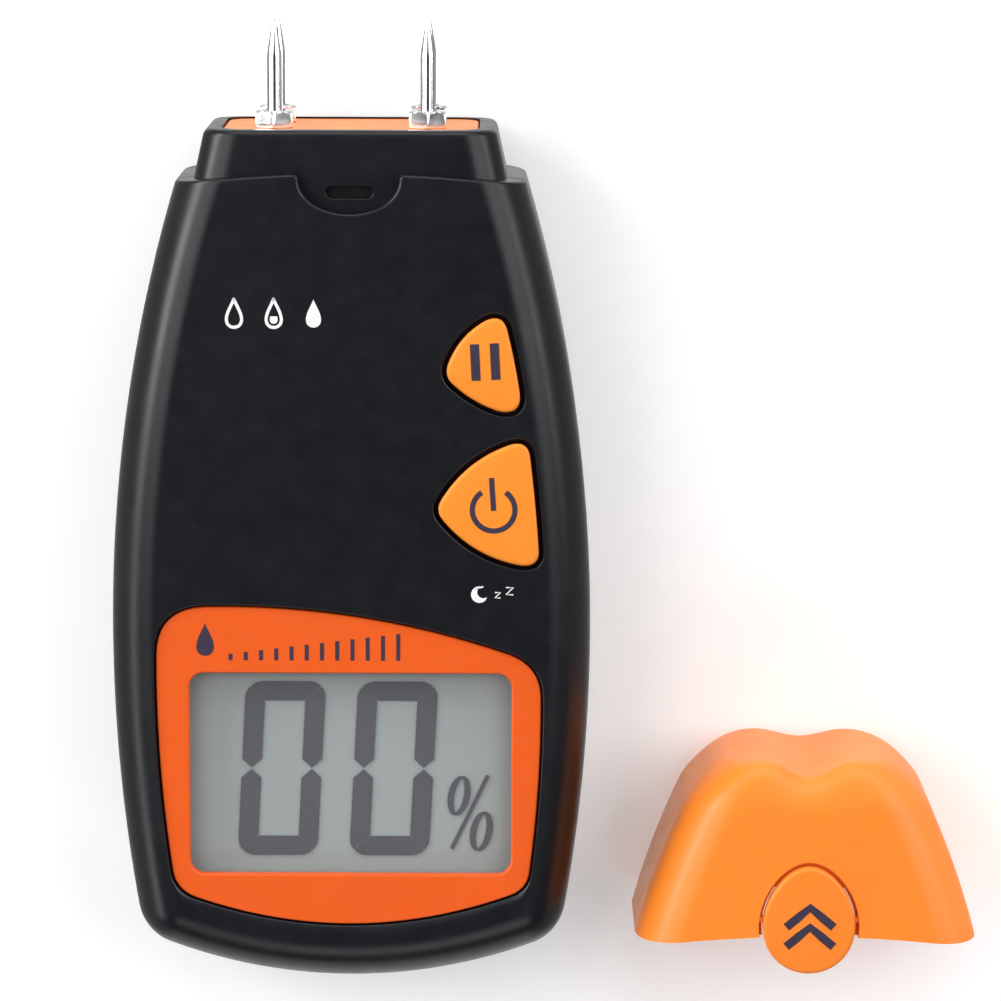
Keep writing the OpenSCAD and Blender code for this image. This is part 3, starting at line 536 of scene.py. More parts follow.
def notch_outline():
    """Half-round notch for the tab, with small roundings where it meets the shoulder."""
    half, fillet = NOTCH_W / 2, 0.7
    crest = Y_SHOULDER + SHOULDER_ARCH
    line_y = ARCH_C.y + sqrt(ARCH_R ** 2 - (half + fillet) ** 2)
    bowl = [Vector((half * cos(a), crest - 0.9 + (NOTCH_D - 0.9) * sin(a)))
            for a in (pi * (1 + i / 40) for i in range(41))]
    right = [polar((half + fillet, line_y - fillet), fillet, 180 - 90 * i / 6) for i in range(7)]
    left = [Vector((-p.x, p.y)) for p in reversed(right)]
    return left + bowl + right + [Vector((half + fillet, crest + 2)), Vector((-half - fillet, crest + 2))]


def stadium(centre, width, height, turns=14):
    reach = (width - height) / 2
    return (arc((centre[0] + reach, centre[1]), height / 2, -90, 90, turns)
            + [Vector((centre[0] + reach, centre[1] + height / 2))]
            + arc((centre[0] - reach, centre[1]), height / 2, 90, 270, turns)
            + [Vector((centre[0] - reach, centre[1] - height / 2))])


# ---- Materials ----

def tinted(rgb, factor):
    return tuple(min(1.0, c * factor) for c in rgb)


def ramp(tree, factor, stops):
    """Colour ramp through (position, colour) stops, driven by the output factor."""
    made = add_node(tree, "ShaderNodeValToRGB", {"Fac": factor})
    marks = made.color_ramp.elements
    marks[0].position, marks[0].color = stops[0][0], (*stops[0][1], 1)
    marks[1].position, marks[1].color = stops[-1][0], (*stops[-1][1], 1)
    for position, color in stops[1:-1]:
        marks.new(position).color = (*color, 1)
    return made.outputs["Color"]


def add_node(tree, kind, inputs=(), **settings):
    """Adds a node to a tree. An input is linked if it is given another node's output, and is set otherwise."""
    made = tree.nodes.new(kind)
    for key, value in settings.items():
        setattr(made, key, value)
    for key, value in dict(inputs).items():
        if isinstance(value, bpy.types.NodeSocket):
            tree.links.new(value, made.inputs[key])
        else:
            made.inputs[key].default_value = value
    return made


class Shader:
    """A node material with a Principled shader, built up from procedural detail."""

    def __init__(self, name, **values):
        self.material = bpy.data.materials.new(name)
        self.material.use_nodes = True
        self.tree = self.material.node_tree
        self.bsdf = self.tree.nodes["Principled BSDF"]
        for key, value in values.items():
            self.bsdf.inputs[key.replace("_", " ")].default_value = value
        self.coords = self.node("ShaderNodeTexCoord").outputs["Object"]
        self.normal = None

    def node(self, kind, inputs=(), **settings):
        return add_node(self.tree, kind, inputs, **settings)

    def feed(self, key, source):
        self.tree.links.new(source, self.bsdf.inputs[key])
        return self

    def texture(self, kind, scale, stretch=(1, 1, 1), inputs=(), **settings):
        """A texture whose features are about 1 / scale millimetres wide."""
        place = self.node("ShaderNodeMapping", {"Vector": self.coords, "Scale": [s / MM for s in stretch]})
        inputs = {"Vector": place.outputs["Vector"], "Scale": scale, **dict(inputs)}
        return self.node(kind, inputs, **settings)

    def noise(self, scale, detail=3.0, stretch=(1, 1, 1)):
        inputs = {"Detail": detail, "Roughness": 0.55}
        return self.texture("ShaderNodeTexNoise", scale, stretch, inputs).outputs["Fac"]

    def cells(self, scale, feature="F1"):
        return self.texture("ShaderNodeTexVoronoi", scale, feature=feature).outputs["Distance"]

    def remap(self, value, start, end, low=0.0, high=1.0):
        inputs = {"Value": value, "From Min": start, "From Max": end, "To Min": low, "To Max": high}
        return self.node("ShaderNodeMapRange", inputs).outputs["Result"]

    def along(self, axis, start, end):
        """Zero to one from start to end along an axis of the object, in millimetres."""
        split = self.node("ShaderNodeSeparateXYZ", {"Vector": self.coords})
        return self.remap(split.outputs[axis], start * MM, end * MM)

    def mottle(self, factor, rgb, darker, lighter):
        return self.colour(factor, [(0.3, tinted(rgb, darker)), (0.7, tinted(rgb, lighter))])

    def colour(self, factor, stops):
        return self.feed("Base Color", ramp(self.tree, factor, stops))

    def roughness(self, factor, low, high):
        return self.feed("Roughness", self.remap(factor, 0.3, 0.7, low, high))

    def bump(self, height, strength, depth):
        """Relief of the given depth in millimetres, on top of any relief so far."""
        inputs = {"Height": height, "Strength": strength, "Distance": depth * MM}
        if self.normal is not None:
            inputs["Normal"] = self.normal
        self.normal = self.node("ShaderNodeBump", inputs).outputs["Normal"]
        return self.feed("Normal", self.normal)


def moulded_shader(name, rgb, rough, grain=(2.4, 0.35, 0.012), mottle=0.05, **values):
    """Moulded plastic: faint colour mottle, uneven gloss and a fine grain of (scale, strength, depth)."""
    shader = Shader(name, **values)
    shader.mottle(shader.noise(0.12), rgb, 1 - mottle, 1 + mottle)
    shader.roughness(shader.noise(0.3, 4), *rough)
    return shader.bump(shader.noise(grain[0], 2), grain[1], grain[2])


def moulded(*looks, **values):
    return moulded_shader(*looks, **values).material


def key_plastic():
    """Orange plastic with painted shade: below the face it darkens through deep red to near black, standing in
    for the shade in the gap round the key.
    """
    shader = moulded_shader("key_orange", KEY_RGB, (0.38, 0.46), (3.5, 0.3, 0.01), 0.02, Specular_IOR_Level=0.4)
    # Painted shade: the colour darkens with depth from the key's face down to its flange, in place of the
    # shadow inside the gap round the key.
    shader.colour(shader.along("Z", BODY_T - 0.5, BODY_T + 0.15),
                  [(0.0, (0.035, 0.002, 0.001)), (0.5, (0.35, 0.035, 0.004)), (1.0, KEY_RGB)])
    return shader.material


def metal(name, rgb, rough, stretch=(1, 1, 1)):
    shader = Shader(name, Metallic=1.0)
    streaks = shader.noise(1.6, 4, stretch)
    shader.mottle(streaks, rgb, 0.93, 1.05)
    shader.roughness(shader.noise(0.5, 3), *rough)
    return shader.bump(streaks, 0.25, 0.006).material


def ink(name, rgb):
    shader = Shader(name)
    shader.mottle(shader.noise(3.5), rgb, 0.9, 1.06)
    shader.roughness(shader.noise(1.5, 2), 0.4, 0.55)
    return shader.bump(shader.noise(5, 2), 0.2, 0.004).material


def circuit_board():
    """Solder mask over copper: rounded cell edges read as tracks, with finer weave below."""
    shader = Shader("board_green")
    tracks = shader.cells(0.42, "DISTANCE_TO_EDGE")
    shader.colour(tracks, [(0.0, (0.02, 0.13, 0.055)), (0.05, (0.022, 0.14, 0.06)),
                           (0.09, (0.008, 0.06, 0.028)), (1.0, (0.006, 0.05, 0.024))])
    shader.roughness(shader.noise(0.8), 0.25, 0.4)
    shader.bump(tracks, 0.15, 0.03)
    return shader.bump(shader.noise(3, 2), 0.2, 0.006).material


def foam():
    shader = Shader("foam_grey")
    pores = shader.cells(1.6)
    shader.colour(pores, [(0.0, (0.012, 0.012, 0.014)), (0.45, (0.05, 0.05, 0.056)),
                          (1.0, (0.075, 0.075, 0.08))])
    shader.roughness(pores, 0.85, 0.98)
    return shader.bump(pores, 0.8, 0.25).material


def battery_sleeve(low, high):
    """Printed steel case: a dark body and a copper-coloured end band, with fine print lines."""
    shader = Shader("battery_sleeve", Metallic=0.35)
    shader.colour(shader.along("Y", low.y, high.y), [
        (0.0, (0.010, 0.011, 0.014)), (0.62, (0.012, 0.013, 0.016)), (0.625, (0.6, 0.6, 0.6)),
        (0.64, (0.6, 0.6, 0.6)), (0.645, (0.55, 0.23, 0.09)), (1.0, (0.5, 0.2, 0.08))])
    shader.roughness(shader.noise(0.4, 3), 0.25, 0.38)
    return shader.bump(shader.noise(2.2, 2), 0.2, 0.008).material


def display_cell():
    """Reflective display: grey-green, with faint grain."""
    shader = Shader("display_cell", Specular_IOR_Level=0.3)
    fine = shader.noise(4.5, 2)
    shader.colour(fine, [(0.3, (0.268, 0.300, 0.292)), (0.7, (0.292, 0.325, 0.318))])
    shader.roughness(shader.noise(0.2, 2), 0.45, 0.55)
    return shader.bump(fine, 0.1, 0.004).material


def clear_window():
    shader = Shader("window_clear", Alpha=0.04, IOR=1.49)
    shader.colour(shader.noise(0.1, 2), [(0.3, (0.78, 0.84, 0.83)), (0.7, (0.86, 0.9, 0.9))])
    shader.roughness(shader.noise(0.25, 3), 0.06, 0.12)
    shader.material.surface_render_method = "BLENDED"
    return shader.material


BLACK_RGB = (0.0034, 0.0040, 0.0062)
KEY_RGB = (0.93, 0.27, 0.022)
CAP_RGB = (0.93, 0.235, 0.022)
PANEL_RGB = (0.80, 0.105, 0.009)

black = moulded("case_black", BLACK_RGB, (0.31, 0.38), (3.2, 0.5, 0.016), 0.1, Specular_IOR_Level=0.45)
orange_key = key_plastic()
orange_cap = moulded("cap_orange", CAP_RGB, (0.36, 0.44), (3.2, 0.35, 0.012), 0.02, Specular_IOR_Level=0.4)
orange_panel = moulded("panel_orange", PANEL_RGB, (0.34, 0.42), (3.5, 0.3, 0.01), 0.02, Specular_IOR_Level=0.4)
nickel = metal("nickel", (0.8, 0.81, 0.82), (0.1, 0.17), (1, 0.2, 1))
white_ink = ink("ink_white", (0.86, 0.86, 0.86))
dark_ink = ink("ink_dark", (0.036, 0.024, 0.05))
segment_ink = ink("segment_dark", (0.034, 0.030, 0.044))

NODE_MATERIALS = {
    "lcd_glass": display_cell(),
    "display_window": clear_window(),
    "lcd_frame": moulded("white_plastic", (0.72, 0.72, 0.68), (0.45, 0.6)),
    "contact_rubbers": moulded("zebra_rubber", (0.62, 0.22, 0.3), (0.7, 0.85), (2.0, 0.6, 0.03)),
    "main_board": circuit_board(),
    "controller_chip": moulded("chip_black", (0.008, 0.008, 0.009), (0.5, 0.65), (4.0, 0.6, 0.02)),
    "capacitors": moulded("capacitor_sleeve", (0.02, 0.026, 0.09), (0.3, 0.4)),
    "trimmer": moulded("trimmer_blue", (0.015, 0.07, 0.4), (0.4, 0.5)),
    "crystal": metal("crystal_can", (0.8, 0.81, 0.82), (0.2, 0.32)),
    "resistors": moulded("resistor_ceramic", (0.5, 0.45, 0.34), (0.5, 0.6), mottle=0.2),
    "hold_switch": metal("switch_plate", (0.7, 0.72, 0.74), (0.25, 0.4)),
    "hold_plunger": moulded("plunger_black", (0.013, 0.013, 0.013), (0.45, 0.55)),
    "inner_nuts": nickel,
    "contact_strips": metal("brass_strip", (0.78, 0.56, 0.22), (0.22, 0.36), (0.3, 1, 1)),
    "probe_lead_left": moulded("lead_white", (0.75, 0.75, 0.72), (0.5, 0.6)),
    "probe_lead_right": moulded("lead_yellow", (0.8, 0.5, 0.02), (0.5, 0.6)),
    "battery_lead_red": moulded("lead_red", (0.5, 0.012, 0.01), (0.5, 0.6)),
    "battery_lead_black": moulded("lead_black", (0.01, 0.01, 0.01), (0.5, 0.6)),
    "battery_snap": moulded("snap_black", (0.012, 0.012, 0.012), (0.55, 0.7)),
    "battery_studs": nickel,
    "battery": battery_sleeve(*node_box("battery")),
    "battery_foam": foam(),
    "case_screws": metal("screw_black_zinc", (0.1, 0.1, 0.105), (0.3, 0.42)),
    "board_screws": metal("screw_bright", (0.7, 0.7, 0.7), (0.25, 0.35)),
}
NODE_MATERIALS["amplifier_chips"] = NODE_MATERIALS["controller_chip"]
NODE_MATERIALS["power_switch"] = NODE_MATERIALS["hold_switch"]
NODE_MATERIALS["power_plunger"] = NODE_MATERIALS["hold_plunger"]


def dress_nodes():
    for name, material in NODE_MATERIALS.items():
        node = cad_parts[name]
        if not node.material_slots:
            node.data.materials.append(material)
        for place in node.material_slots:
            place.material = material


# ---- Housing ----

def front_housing():
    hollow = [(WALL, PART_Z - 1)] + front_turn(WALL, 8)
    hollow = [body_ring(side, z, WALL) for side, z in hollow]
    shell = combine(front_body(), [loft("front_cavity", hollow)], "DIFFERENCE")
    under = BODY_T - WALL + 0.05
    inside = [half_head("front_head", PART_Z, BODY_T),
              prism("panel_floor", grown(panel_outline, 0.9), PANEL_FLOOR, under)]
    inside += rods("boss", SCREWS_AT, 2.3, PART_Z + 0.05, under)
    inside += rods("board_boss", BOARD_SCREWS_AT, 2.0, BOARD_TOP + 0.05, under)
    shell = combine(shell, inside, "UNION")
    seat = 2 * WINDOW_LIP + 0.4
    window_hole = rounded_rect(VIEW_C, VIEW_W + seat, VIEW_H + seat, 1.5)
    cutters = head_cutters(PART_Z - 1, HEAD_Z[1] - HEAD_SKIN)
    cutters += [
        flared("notch", notch_outline(), HEAD_Z[1], BODY_T, 0.4),
        flared("slot", stadium((0, SLOT_Y), SLOT_W, SLOT_H), HEAD_Z[1] - SLOT_DEPTH, HEAD_Z[1], 0.15),
        flared("panel_recess", panel_outline, PANEL_Z0, BODY_T, panel_lip, PANEL_GAP, 0.34),
        prism("display_hole", window_hole, PANEL_FLOOR - 1, BODY_T)]
    cutters += [flared("key_opening", outline, PANEL_FLOOR - 1, BODY_T, 0.3, KEY_GAP)
                for outline in (hold_outline, power_outline)]
    cutters += rods("screw_hole", SCREWS_AT, 1.2, PART_Z - 1, PART_Z + 8)
    cutters += rods("board_screw_hole", BOARD_SCREWS_AT, 0.95, BOARD_TOP - 1, BOARD_TOP + 4)
    return piece(smooth(combine(shell, cutters, "DIFFERENCE")), black, "meter", ["front_shell"])


def door_channel():
    """T-shaped way in for the battery door, through the bottom end."""
    y0 = Y_BOTTOM - 1
    return [block("door_way", (-DOOR_W / 2, y0, -1), (DOOR_W / 2, DOOR_Y1, WALL + 0.3)),
            block("rail_way", (-RAIL_X[1] - 0.1, y0, WALL), (RAIL_X[1] + 0.1, DOOR_Y1, RAIL_Z[1] + 0.1))]


def rear_housing():
    hollow = back_turn(WALL, 5) + [(WALL, PART_Z + 1)]
    hollow = [body_ring(side, z, WALL) for side, z in hollow]
    shell = combine(rear_body(), [loft("rear_cavity", hollow)], "DIFFERENCE")
    half = BAY_W / 2 + BAY_WALL
    inside = [half_head("rear_head", 0, PART_Z),
              block("bay", (-half, BAY_Y[0] - BAY_WALL, WALL - 0.5), (half, BAY_Y[1] + BAY_WALL, BAY_TOP))]
    inside += rods("boss", SCREWS_AT, 3.2, 0.6, PART_Z)
    shell = combine(shell, inside, "UNION")
    cutters = head_cutters(HEAD_Z[0] + HEAD_SKIN, PART_Z + 1) + door_channel()
    cutters += [block("bay_pocket", (-BAY_W / 2, BAY_Y[0], -1), (BAY_W / 2, BAY_Y[1], BODY_T))]
    cutters += [block("lead_slot", (sx * 6 - 1.2, BAY_Y[1] - 1, 10.8), (sx * 6 + 1.2, BAY_Y[1] + 3, BODY_T))
                for sx in (-1, 1)]
    for at in SCREWS_AT:
        cutters.append(loft("counterbore", [level(grown(circle(at, 1), r - 1), z) for r, z in
                                            ((2.65, -1), (2.65, 0), (2.4, 0.25), (2.4, 4))]))
    cutters += rods("screw_way", SCREWS_AT, 1.4, 3, BODY_T)
    return piece(smooth(combine(shell, cutters, "DIFFERENCE")), black, "meter", ["rear_shell"])


def battery_door():
    y0, y1 = Y_BOTTOM - 1, DOOR_Y1 - DOOR_GAP
    form = loft("door", [body_ring(side, z) for side, z in back_turn(0)] + [body_ring(0, BACK_ROUND + 1)])
    cover = rounded_rect((0, (y0 + y1) / 2), DOOR_W - 2 * DOOR_GAP, y1 - y0, 1.0)
    plates = [loft("cover", [level(grown(cover, -0.3), 0.15), level(grown(cover, -0.09), 0.24),
                             level(cover, 0.45), level(cover, WALL + 0.1)])]
    plates += [block("rail", (x, y0, RAIL_Z[0]), (x + RAIL_X[1] - RAIL_X[0], y1, RAIL_Z[1]))
               for x in (-RAIL_X[1], RAIL_X[0])]
    plates += [block("lip", (-RAIL_X[1], y0, RAIL_Z[0]), (RAIL_X[1], BAY_Y[0] - BAY_WALL - 1, RAIL_Z[1]))]
    door = combine(form, [combine(plates[0], plates[1:], "UNION")], "INTERSECT")
    grooves = []
    for i in range(5):
        groove = stadium((0, Y_BOTTOM + 7.45 + 1.9 * i), 14 - i, 0.9)
        grooves.append(loft("groove", [level(grown(groove, 0.25), -1), level(grown(groove, 0.25), 0.15),
                                       level(groove, 0.4), level(grown(groove, -0.25), 0.6)]))
    door = combine(door, grooves, "DIFFERENCE")
    return piece(smooth(door), black, "battery_cover", ["battery_door"])


# ---- Keys ----

def key_cap(name, outline, body, node):
    """Key with a flange that its opening keeps in, and a crowned top."""
    flange = grown(outline, KEY_FLANGE)
    rings = [level(flange, KEY_FLANGE_Z[0]), level(flange, KEY_FLANGE_Z[1]), level(outline, KEY_FLANGE_Z[1])]
    rings += crowned_top(outline, 0.5, KEY_TOP, 0.16, (0.97, 0.92, 0.84, 0.7, 0.5, 0.3, 0.12), 2.5)
    return piece(smooth(loft(name, rings)), orange_key, body, [node])


# ---- Flat marks ----

class Marks:
    """Thin raised shapes: printing, or the segments of the display."""

    def __init__(self, z=0.0):
        self.points, self.faces, self.z = [], [], z

    def patch(self, outline):
        start = len(self.points)
        self.points += level(outline, self.z)
        self.faces.append(tuple(range(start, start + len(outline))))

    def strip(self, path, width, closed=False):
        """A ribbon of one width, or of a width for each point, along a path."""
        n, start = len(path), len(self.points)
        path = [Vector(p) for p in path]
        for i, p in enumerate(path):
            after = path[(i + 1) % n] if closed else path[min(i + 1, n - 1)]
            before = path[i - 1] if closed else path[max(i - 1, 0)]
            along = (after - before).normalized()
            reach = (width[i] if isinstance(width, (list, tuple)) else width) / 2
            side = Vector((-along.y, along.x)) * reach
            self.points += level([p + side, p - side], self.z)
        for i in range(n if closed else n - 1):
            j = (i + 1) % n
            self.faces.append((start + 2 * i, start + 2 * i + 1, start + 2 * j + 1, start + 2 * j))

    def build(self, name, thickness):
        def face_up(bm):
            for face in bm.faces:
                if face.normal.z < 0:
                    face.normal_flip()
        obj = add_object(name, self.points, self.faces)
        edit(obj.data, face_up)
        body = obj.modifiers.new("Thickness", "SOLIDIFY")
        body.thickness = thickness * MM
        body.offset = 1
        return obj


def drape(marks, target, lift=0.012):
    """Lays each point of marks on the target's top, a little above it."""
    bpy.context.view_layer.update()
    tree = BVHTree.FromObject(target, bpy.context.evaluated_depsgraph_get())
    for vertex in marks.data.vertices:
        hit = tree.ray_cast(Vector((vertex.co.x, vertex.co.y, 1)), Vector((0, 0, -1)))[0]
        if hit is not None:
            vertex.co.z = hit.z + lift * MM
    return marks


def power_mark():
    """Standby symbol: a ring open at the top, with a bar in the gap."""
    centre, radius, stroke, gap = Vector((19.77, 11.82)), 2.92, 0.72, 34
    marks = Marks()
    marks.strip(arc(centre, radius, 90 + gap, 450 - gap, 48) + [polar(centre, radius, 450 - gap)], stroke)
    bar_top, bar_foot = Vector((19.46, 16.25)), Vector((19.77, 11.7))
    marks.strip([bar_foot.lerp(bar_top, i / 8) for i in range(9)], stroke)
    return marks.build("power_symbol", 0.025)


def hold_mark():
    """Two upright bars, for a held reading."""
    centre, tilt = Vector((18.55, 32.2)), radians(3)
    up = Vector((-sin(tilt), cos(tilt)))
    across = Vector((up.y, -up.x))
    marks = Marks()
    for sx in (-1, 1):
        foot = centre + across * (1.35 * sx) - up * 2.5
        marks.strip([foot + up * (5.0 * i / 8) for i in range(9)], 1.25)
    return marks.build("hold_symbol", 0.025)


def arrow_mark():
    """Double chevron on the latch tab, for the way it lifts."""
    centre = Vector((CAP_AT.x + 0.1, CAP_AT.y + TAB_Y - 1.0))
    marks = Marks()
    for rise in (-2.6, 0.2):
        marks.strip([centre + Vector((1.65 * k, rise + 1.4 * (2 - abs(k)))) for k in range(-2, 3)], 1.2)
    return marks.build("lift_symbol", 0.025)


def drop_outline(centre, height, count=40):
    """A water drop with its point up."""
    points = []
    for i in range(count):
        a = 2 * pi * i / count
        narrowing = sin(a / 2) ** 1.6
        points.append(Vector((centre[0] + 0.62 * height * sin(a) * narrowing * 0.62,
                              centre[1] + 0.5 * height * cos(a))))
    return points[::-1]


def case_marks():
    """White marks: three drops of growing fill above the keys, and a sleeping moon below them."""
    marks = Marks()
    for i in range(3):
        outline = drop_outline((-15.6 + 5.4 * i, 38.7), 3.9)
        if i == 2:
            marks.patch(outline)
        else:
            marks.strip(outline, 0.42, closed=True)
        if i == 1:
            marks.patch([p for p in grown(outline, -0.5) if p.y < 38.3])
    moon = Vector((17.85, -0.1))
    outer = [polar(moon, 1.15, 60 + 260 * i / 24) for i in range(25)]
    inner = [polar(moon + Vector((0.55, 0.35)), 0.85, 305 - 215 * i / 20) for i in range(21)]
    marks.patch(outer + inner)
    for k, size in enumerate((0.75, 1.0)):
        at = Vector((20.0 + 1.5 * k, -0.55 + 0.45 * k))
        marks.strip([at + Vector((0, size)), at + Vector((size, size)), at, at + Vector((size, 0))], 0.2)
    return marks.build("case_marks", 0.02)


def panel_marks():
    """Dark marks on the panel: a drop and a moisture scale of growing ticks."""
    marks = Marks()
    marks.patch(drop_outline((-19.9, -6.6), 4.6))
    for i in range(12):
        tall = 0.9 + 0.26 * i
        marks.strip([Vector((-16.4 + 2.1 * i, -9.5 + tall * k / 3)) for k in range(4)], 0.55)
    return marks.build("panel_marks", 0.02)


def digit_segments(marks, left, top, width, height, stroke, slant):
    """The six segments of a nought: mitred at its round corners, and pointed at mid height."""
    gap, mid, radius, point = 0.09, height / 2, 2.3, 1.35
    lean = tan(radians(slant))

    def corner(start, end):
        return [polar((radius, radius), radius, start + (end - start) * i / 6) for i in range(7)]
    crown = [p + Vector((gap, 0)) for p in corner(225, 270)]
    beam = crown + [Vector((width - p.x, p.y)) for p in reversed(crown)]
    beam += [Vector((width - stroke - gap, stroke)), Vector((stroke + gap, stroke))]
    post = [p + Vector((0, gap)) for p in corner(180, 225)]
    post += [Vector((stroke, stroke + gap)), Vector((stroke, mid - point)),
             Vector((stroke / 2, mid - gap)), Vector((0, mid - point))]
    shapes = [beam, post, [Vector((width - p.x, p.y)) for p in post]]
    shapes += [[Vector((p.x, height - p.y)) for p in shape] for shape in shapes]
    for shape in shapes:
        marks.patch([Vector((left + p.x - p.y * lean, top - p.y)) for p in shape])


def percent_segments(marks):
    """Per cent sign: a slash and two slim leaning rings."""
    lean = 0.16

    def ring(centre, half_w, half_h, thin, thick):
        path, widths = [], []
        for i in range(32):
            a = 2 * pi * i / 32
            y = half_h * sin(a)
            path.append(Vector((centre[0] + half_w * cos(a) + lean * y, centre[1] + y)))
            widths.append(thin + (thick - thin) * abs(cos(a)))
        marks.strip(path, widths, closed=True)
    marks.strip([Vector((14.1, -36.8)), Vector((16.6, -31.6)), Vector((19.1, -26.3))], 0.55)
    ring((15.1, -29.2), 1.1, 2.6, 0.45, 0.9)
    ring((18.2, -34.3), 1.1, 2.6, 0.45, 0.9)


def display_segments():
    marks = Marks(LCD_TOP + 0.12)
    for left in (-14.45, 1.1):
        digit_segments(marks, left, -13.0, 11.1, 24.75, 2.75, 3.0)
    percent_segments(marks)
    obj = marks.build("display_segments", 0.05)
    return piece(obj, segment_ink, "meter")


# ---- Face panel, head and pins ----

def panel():
    top, edge = PANEL_Z0 + PANEL_T, 0.28
    rings = [level(panel_outline, PANEL_Z0), level(panel_outline, top - edge)]
    plate = loft("orange_panel", rings + rounded_top(panel_outline, edge, top, 4)[1:])
    opening = flared("opening", rounded_rect(VIEW_C, VIEW_W, VIEW_H, VIEW_R), PANEL_Z0 - 1, top, 0.3)
    plate = combine(plate, [opening], "DIFFERENCE")
    return piece(smooth(plate), orange_panel, "meter", ["face_panel"])


def end_plate():
    y0, y1 = PLATE_Y
    plate = plate_form("pin_plate", 0, y0 + 0.6, y1, 0.25)
    plate = combine(plate, [plate_form("end_flange", 0.5, y0, y0 + 1.2, 0.1)], "UNION")
    bore = SHANK_R + 0.05
    mouth = SHANK_R + 0.3
    profile = [(bore, y0 - 1), (bore, y1 - 0.2), (mouth, y1 + 0.05), (mouth, y1 + 1)]
    plate = combine(plate, [lathe("hole", profile, at, 48) for at in PIN_PLACES.values()], "DIFFERENCE")
    return piece(smooth(plate), orange_cap, "meter", ["probe_plate"])


def needle_profile():
    """(radius, y) pairs: a threaded shank, a straight needle and a slightly bellied point."""
    inner = PLATE_Y[0] - 3.14
    nut_top = PLATE_Y[1] + NUT_H
    tip = nut_top + PIN_L
    profile = [(SHANK_R - 0.25, inner), (SHANK_R - 0.05, inner + 0.2)]
    for i in range(4):
        y = inner + 0.3 + 0.45 * i
        profile += [(SHANK_R, y), (SHANK_R - 0.14, y + 0.22)]
    profile += [(SHANK_R, inner + 2.2), (SHANK_R, nut_top - 0.3), (SHANK_R - 0.08, nut_top - 0.22),
                (PIN_R + 0.02, nut_top - 0.2), (PIN_R, nut_top + 0.3)]
    steps = 14
    for i in range(steps + 1):
        t = i / steps
        profile.append((0.05 + (PIN_R - 0.05) * (1 - t ** 1.18), tip - PIN_CONE + (PIN_CONE - 0.05) * t))
    return profile + [(0.012, tip)]


def needles():
    for place, at in PIN_PLACES.items():
        needle = lathe("needle_" + place, needle_profile(), at)
        piece(smooth(needle, 35), nickel, "meter", ["pin_" + place])


def hex_radius(angle):
    """Distance from the middle of a hexagon to its edge, with flats facing along X."""
    part = (angle + 30) % 60 - 30
    return NUT_AF / 2 / cos(radians(part))


def pin_nuts():
    """Chamfered hexagon nuts, each with a threaded hole."""
    count, y0, y1 = 96, PLATE_Y[1] + 0.01, PLATE_Y[1] + NUT_H
    angles = [360 * i / count for i in range(count)]
    outer, bore, chamfer = NUT_AF / sqrt(3), SHANK_R + 0.03, 0.42
    cone = [(y0, outer - 0.32), (y0 + 0.12, outer - 0.12), (y0 + 0.2, outer), (y1 - chamfer, outer)]
    cone += [(y1 - chamfer + chamfer * t, outer - (outer - NUT_AF / 2 + 0.16) * t ** 1.5)
             for t in (0.15, 0.3, 0.45, 0.6, 0.75, 0.9, 1.0)]
    points, faces = [], []
    for at in PIN_PLACES.values():
        rings = [[polar(at, min(hex_radius(a) - 0.05 * (y == y0), limit), a) for a in angles]
                 for y, limit in cone]
        rings += [circle(at, r, count) for r in (bore + 0.3, bore, bore, bore + 0.1)]
        levels = [y for y, limit in cone] + [y1, y1 - 0.25, y0 + 0.1, y0]
        faces += walls(count, len(rings), len(rings), len(points))
        points += [p for ring, y in zip(rings, levels) for p in across(ring, y)]
    nuts = add_object("pin_nuts", points, faces)
    return piece(smooth(nuts, 24), nickel, "meter", ["probe_nuts"])


# ---- Cap ----

def valley(z):
    return 0.9 + 1.5 * z / BODY_T


def hump(x, z):
    if abs(x) > HUMP_X:
        return -HUMP_FALL * (abs(x) - HUMP_X) ** 2
    return -valley(z) * (1 + cos(pi * x / HUMP_X)) / 2


def cap_half(y):
    return SHOULDER_W / 2 - CAP_TAPER * max(y, 0) - CAP_CURVE * max(y, 0) ** 2


def cap_front(y):
    return BODY_T - CAP_FRONT_TAPER * max(y, 0)


def cap_form(name, side, back, front, low, top):
    """The cap's form, drawn in by its skin, from low to the top."""
    rise = CAP_ROUND - side
    climb = rise + CAP_SOFTEN
    y_round = top - climb
    round_front = (FRONT_ROUND[0] - side, FRONT_ROUND[1] - side)
    rb = BACK_ROUND - side
    edge_fall = hump(cap_half(y_round) - side, BODY_T / 2)
    rings = [section(cap_half(y) - side, back, cap_front(y) - front, rb, round_front, y, 12, 14)
             for y in [low] + [y_round * i / 10 for i in range(11)]]
    for s, c in quarter(10)[1:]:
        y, drawn = y_round + climb * s, 1 - c
        ring = section(cap_half(y + edge_fall * s) - side - rise * drawn, back + (CAP_ROUND_Z - back) * drawn,
                       cap_front(y) - front - (CAP_ROUND_Z - front) * drawn, rb, round_front, y, 12, 14)
        rings.append([p + Vector((0, hump(p.x, p.z) * s, 0)) for p in ring])
    last = section(cap_half(top + edge_fall) - side - rise, CAP_ROUND_Z, cap_front(top) - CAP_ROUND_Z,
                   rb, round_front, top, 12, 14)
    for share in (0.93, 0.85, 0.75, 0.63, 0.5, 0.37, 0.24, 0.1):
        ring = [Vector((p.x * share, p.y, BODY_T / 2 + (p.z - BODY_T / 2) * share)) for p in last]
        rings.append([p + Vector((0, hump(p.x, p.z), 0)) for p in ring])
    return loft(name, [[p + CAP_AT for p in ring] for ring in rings])


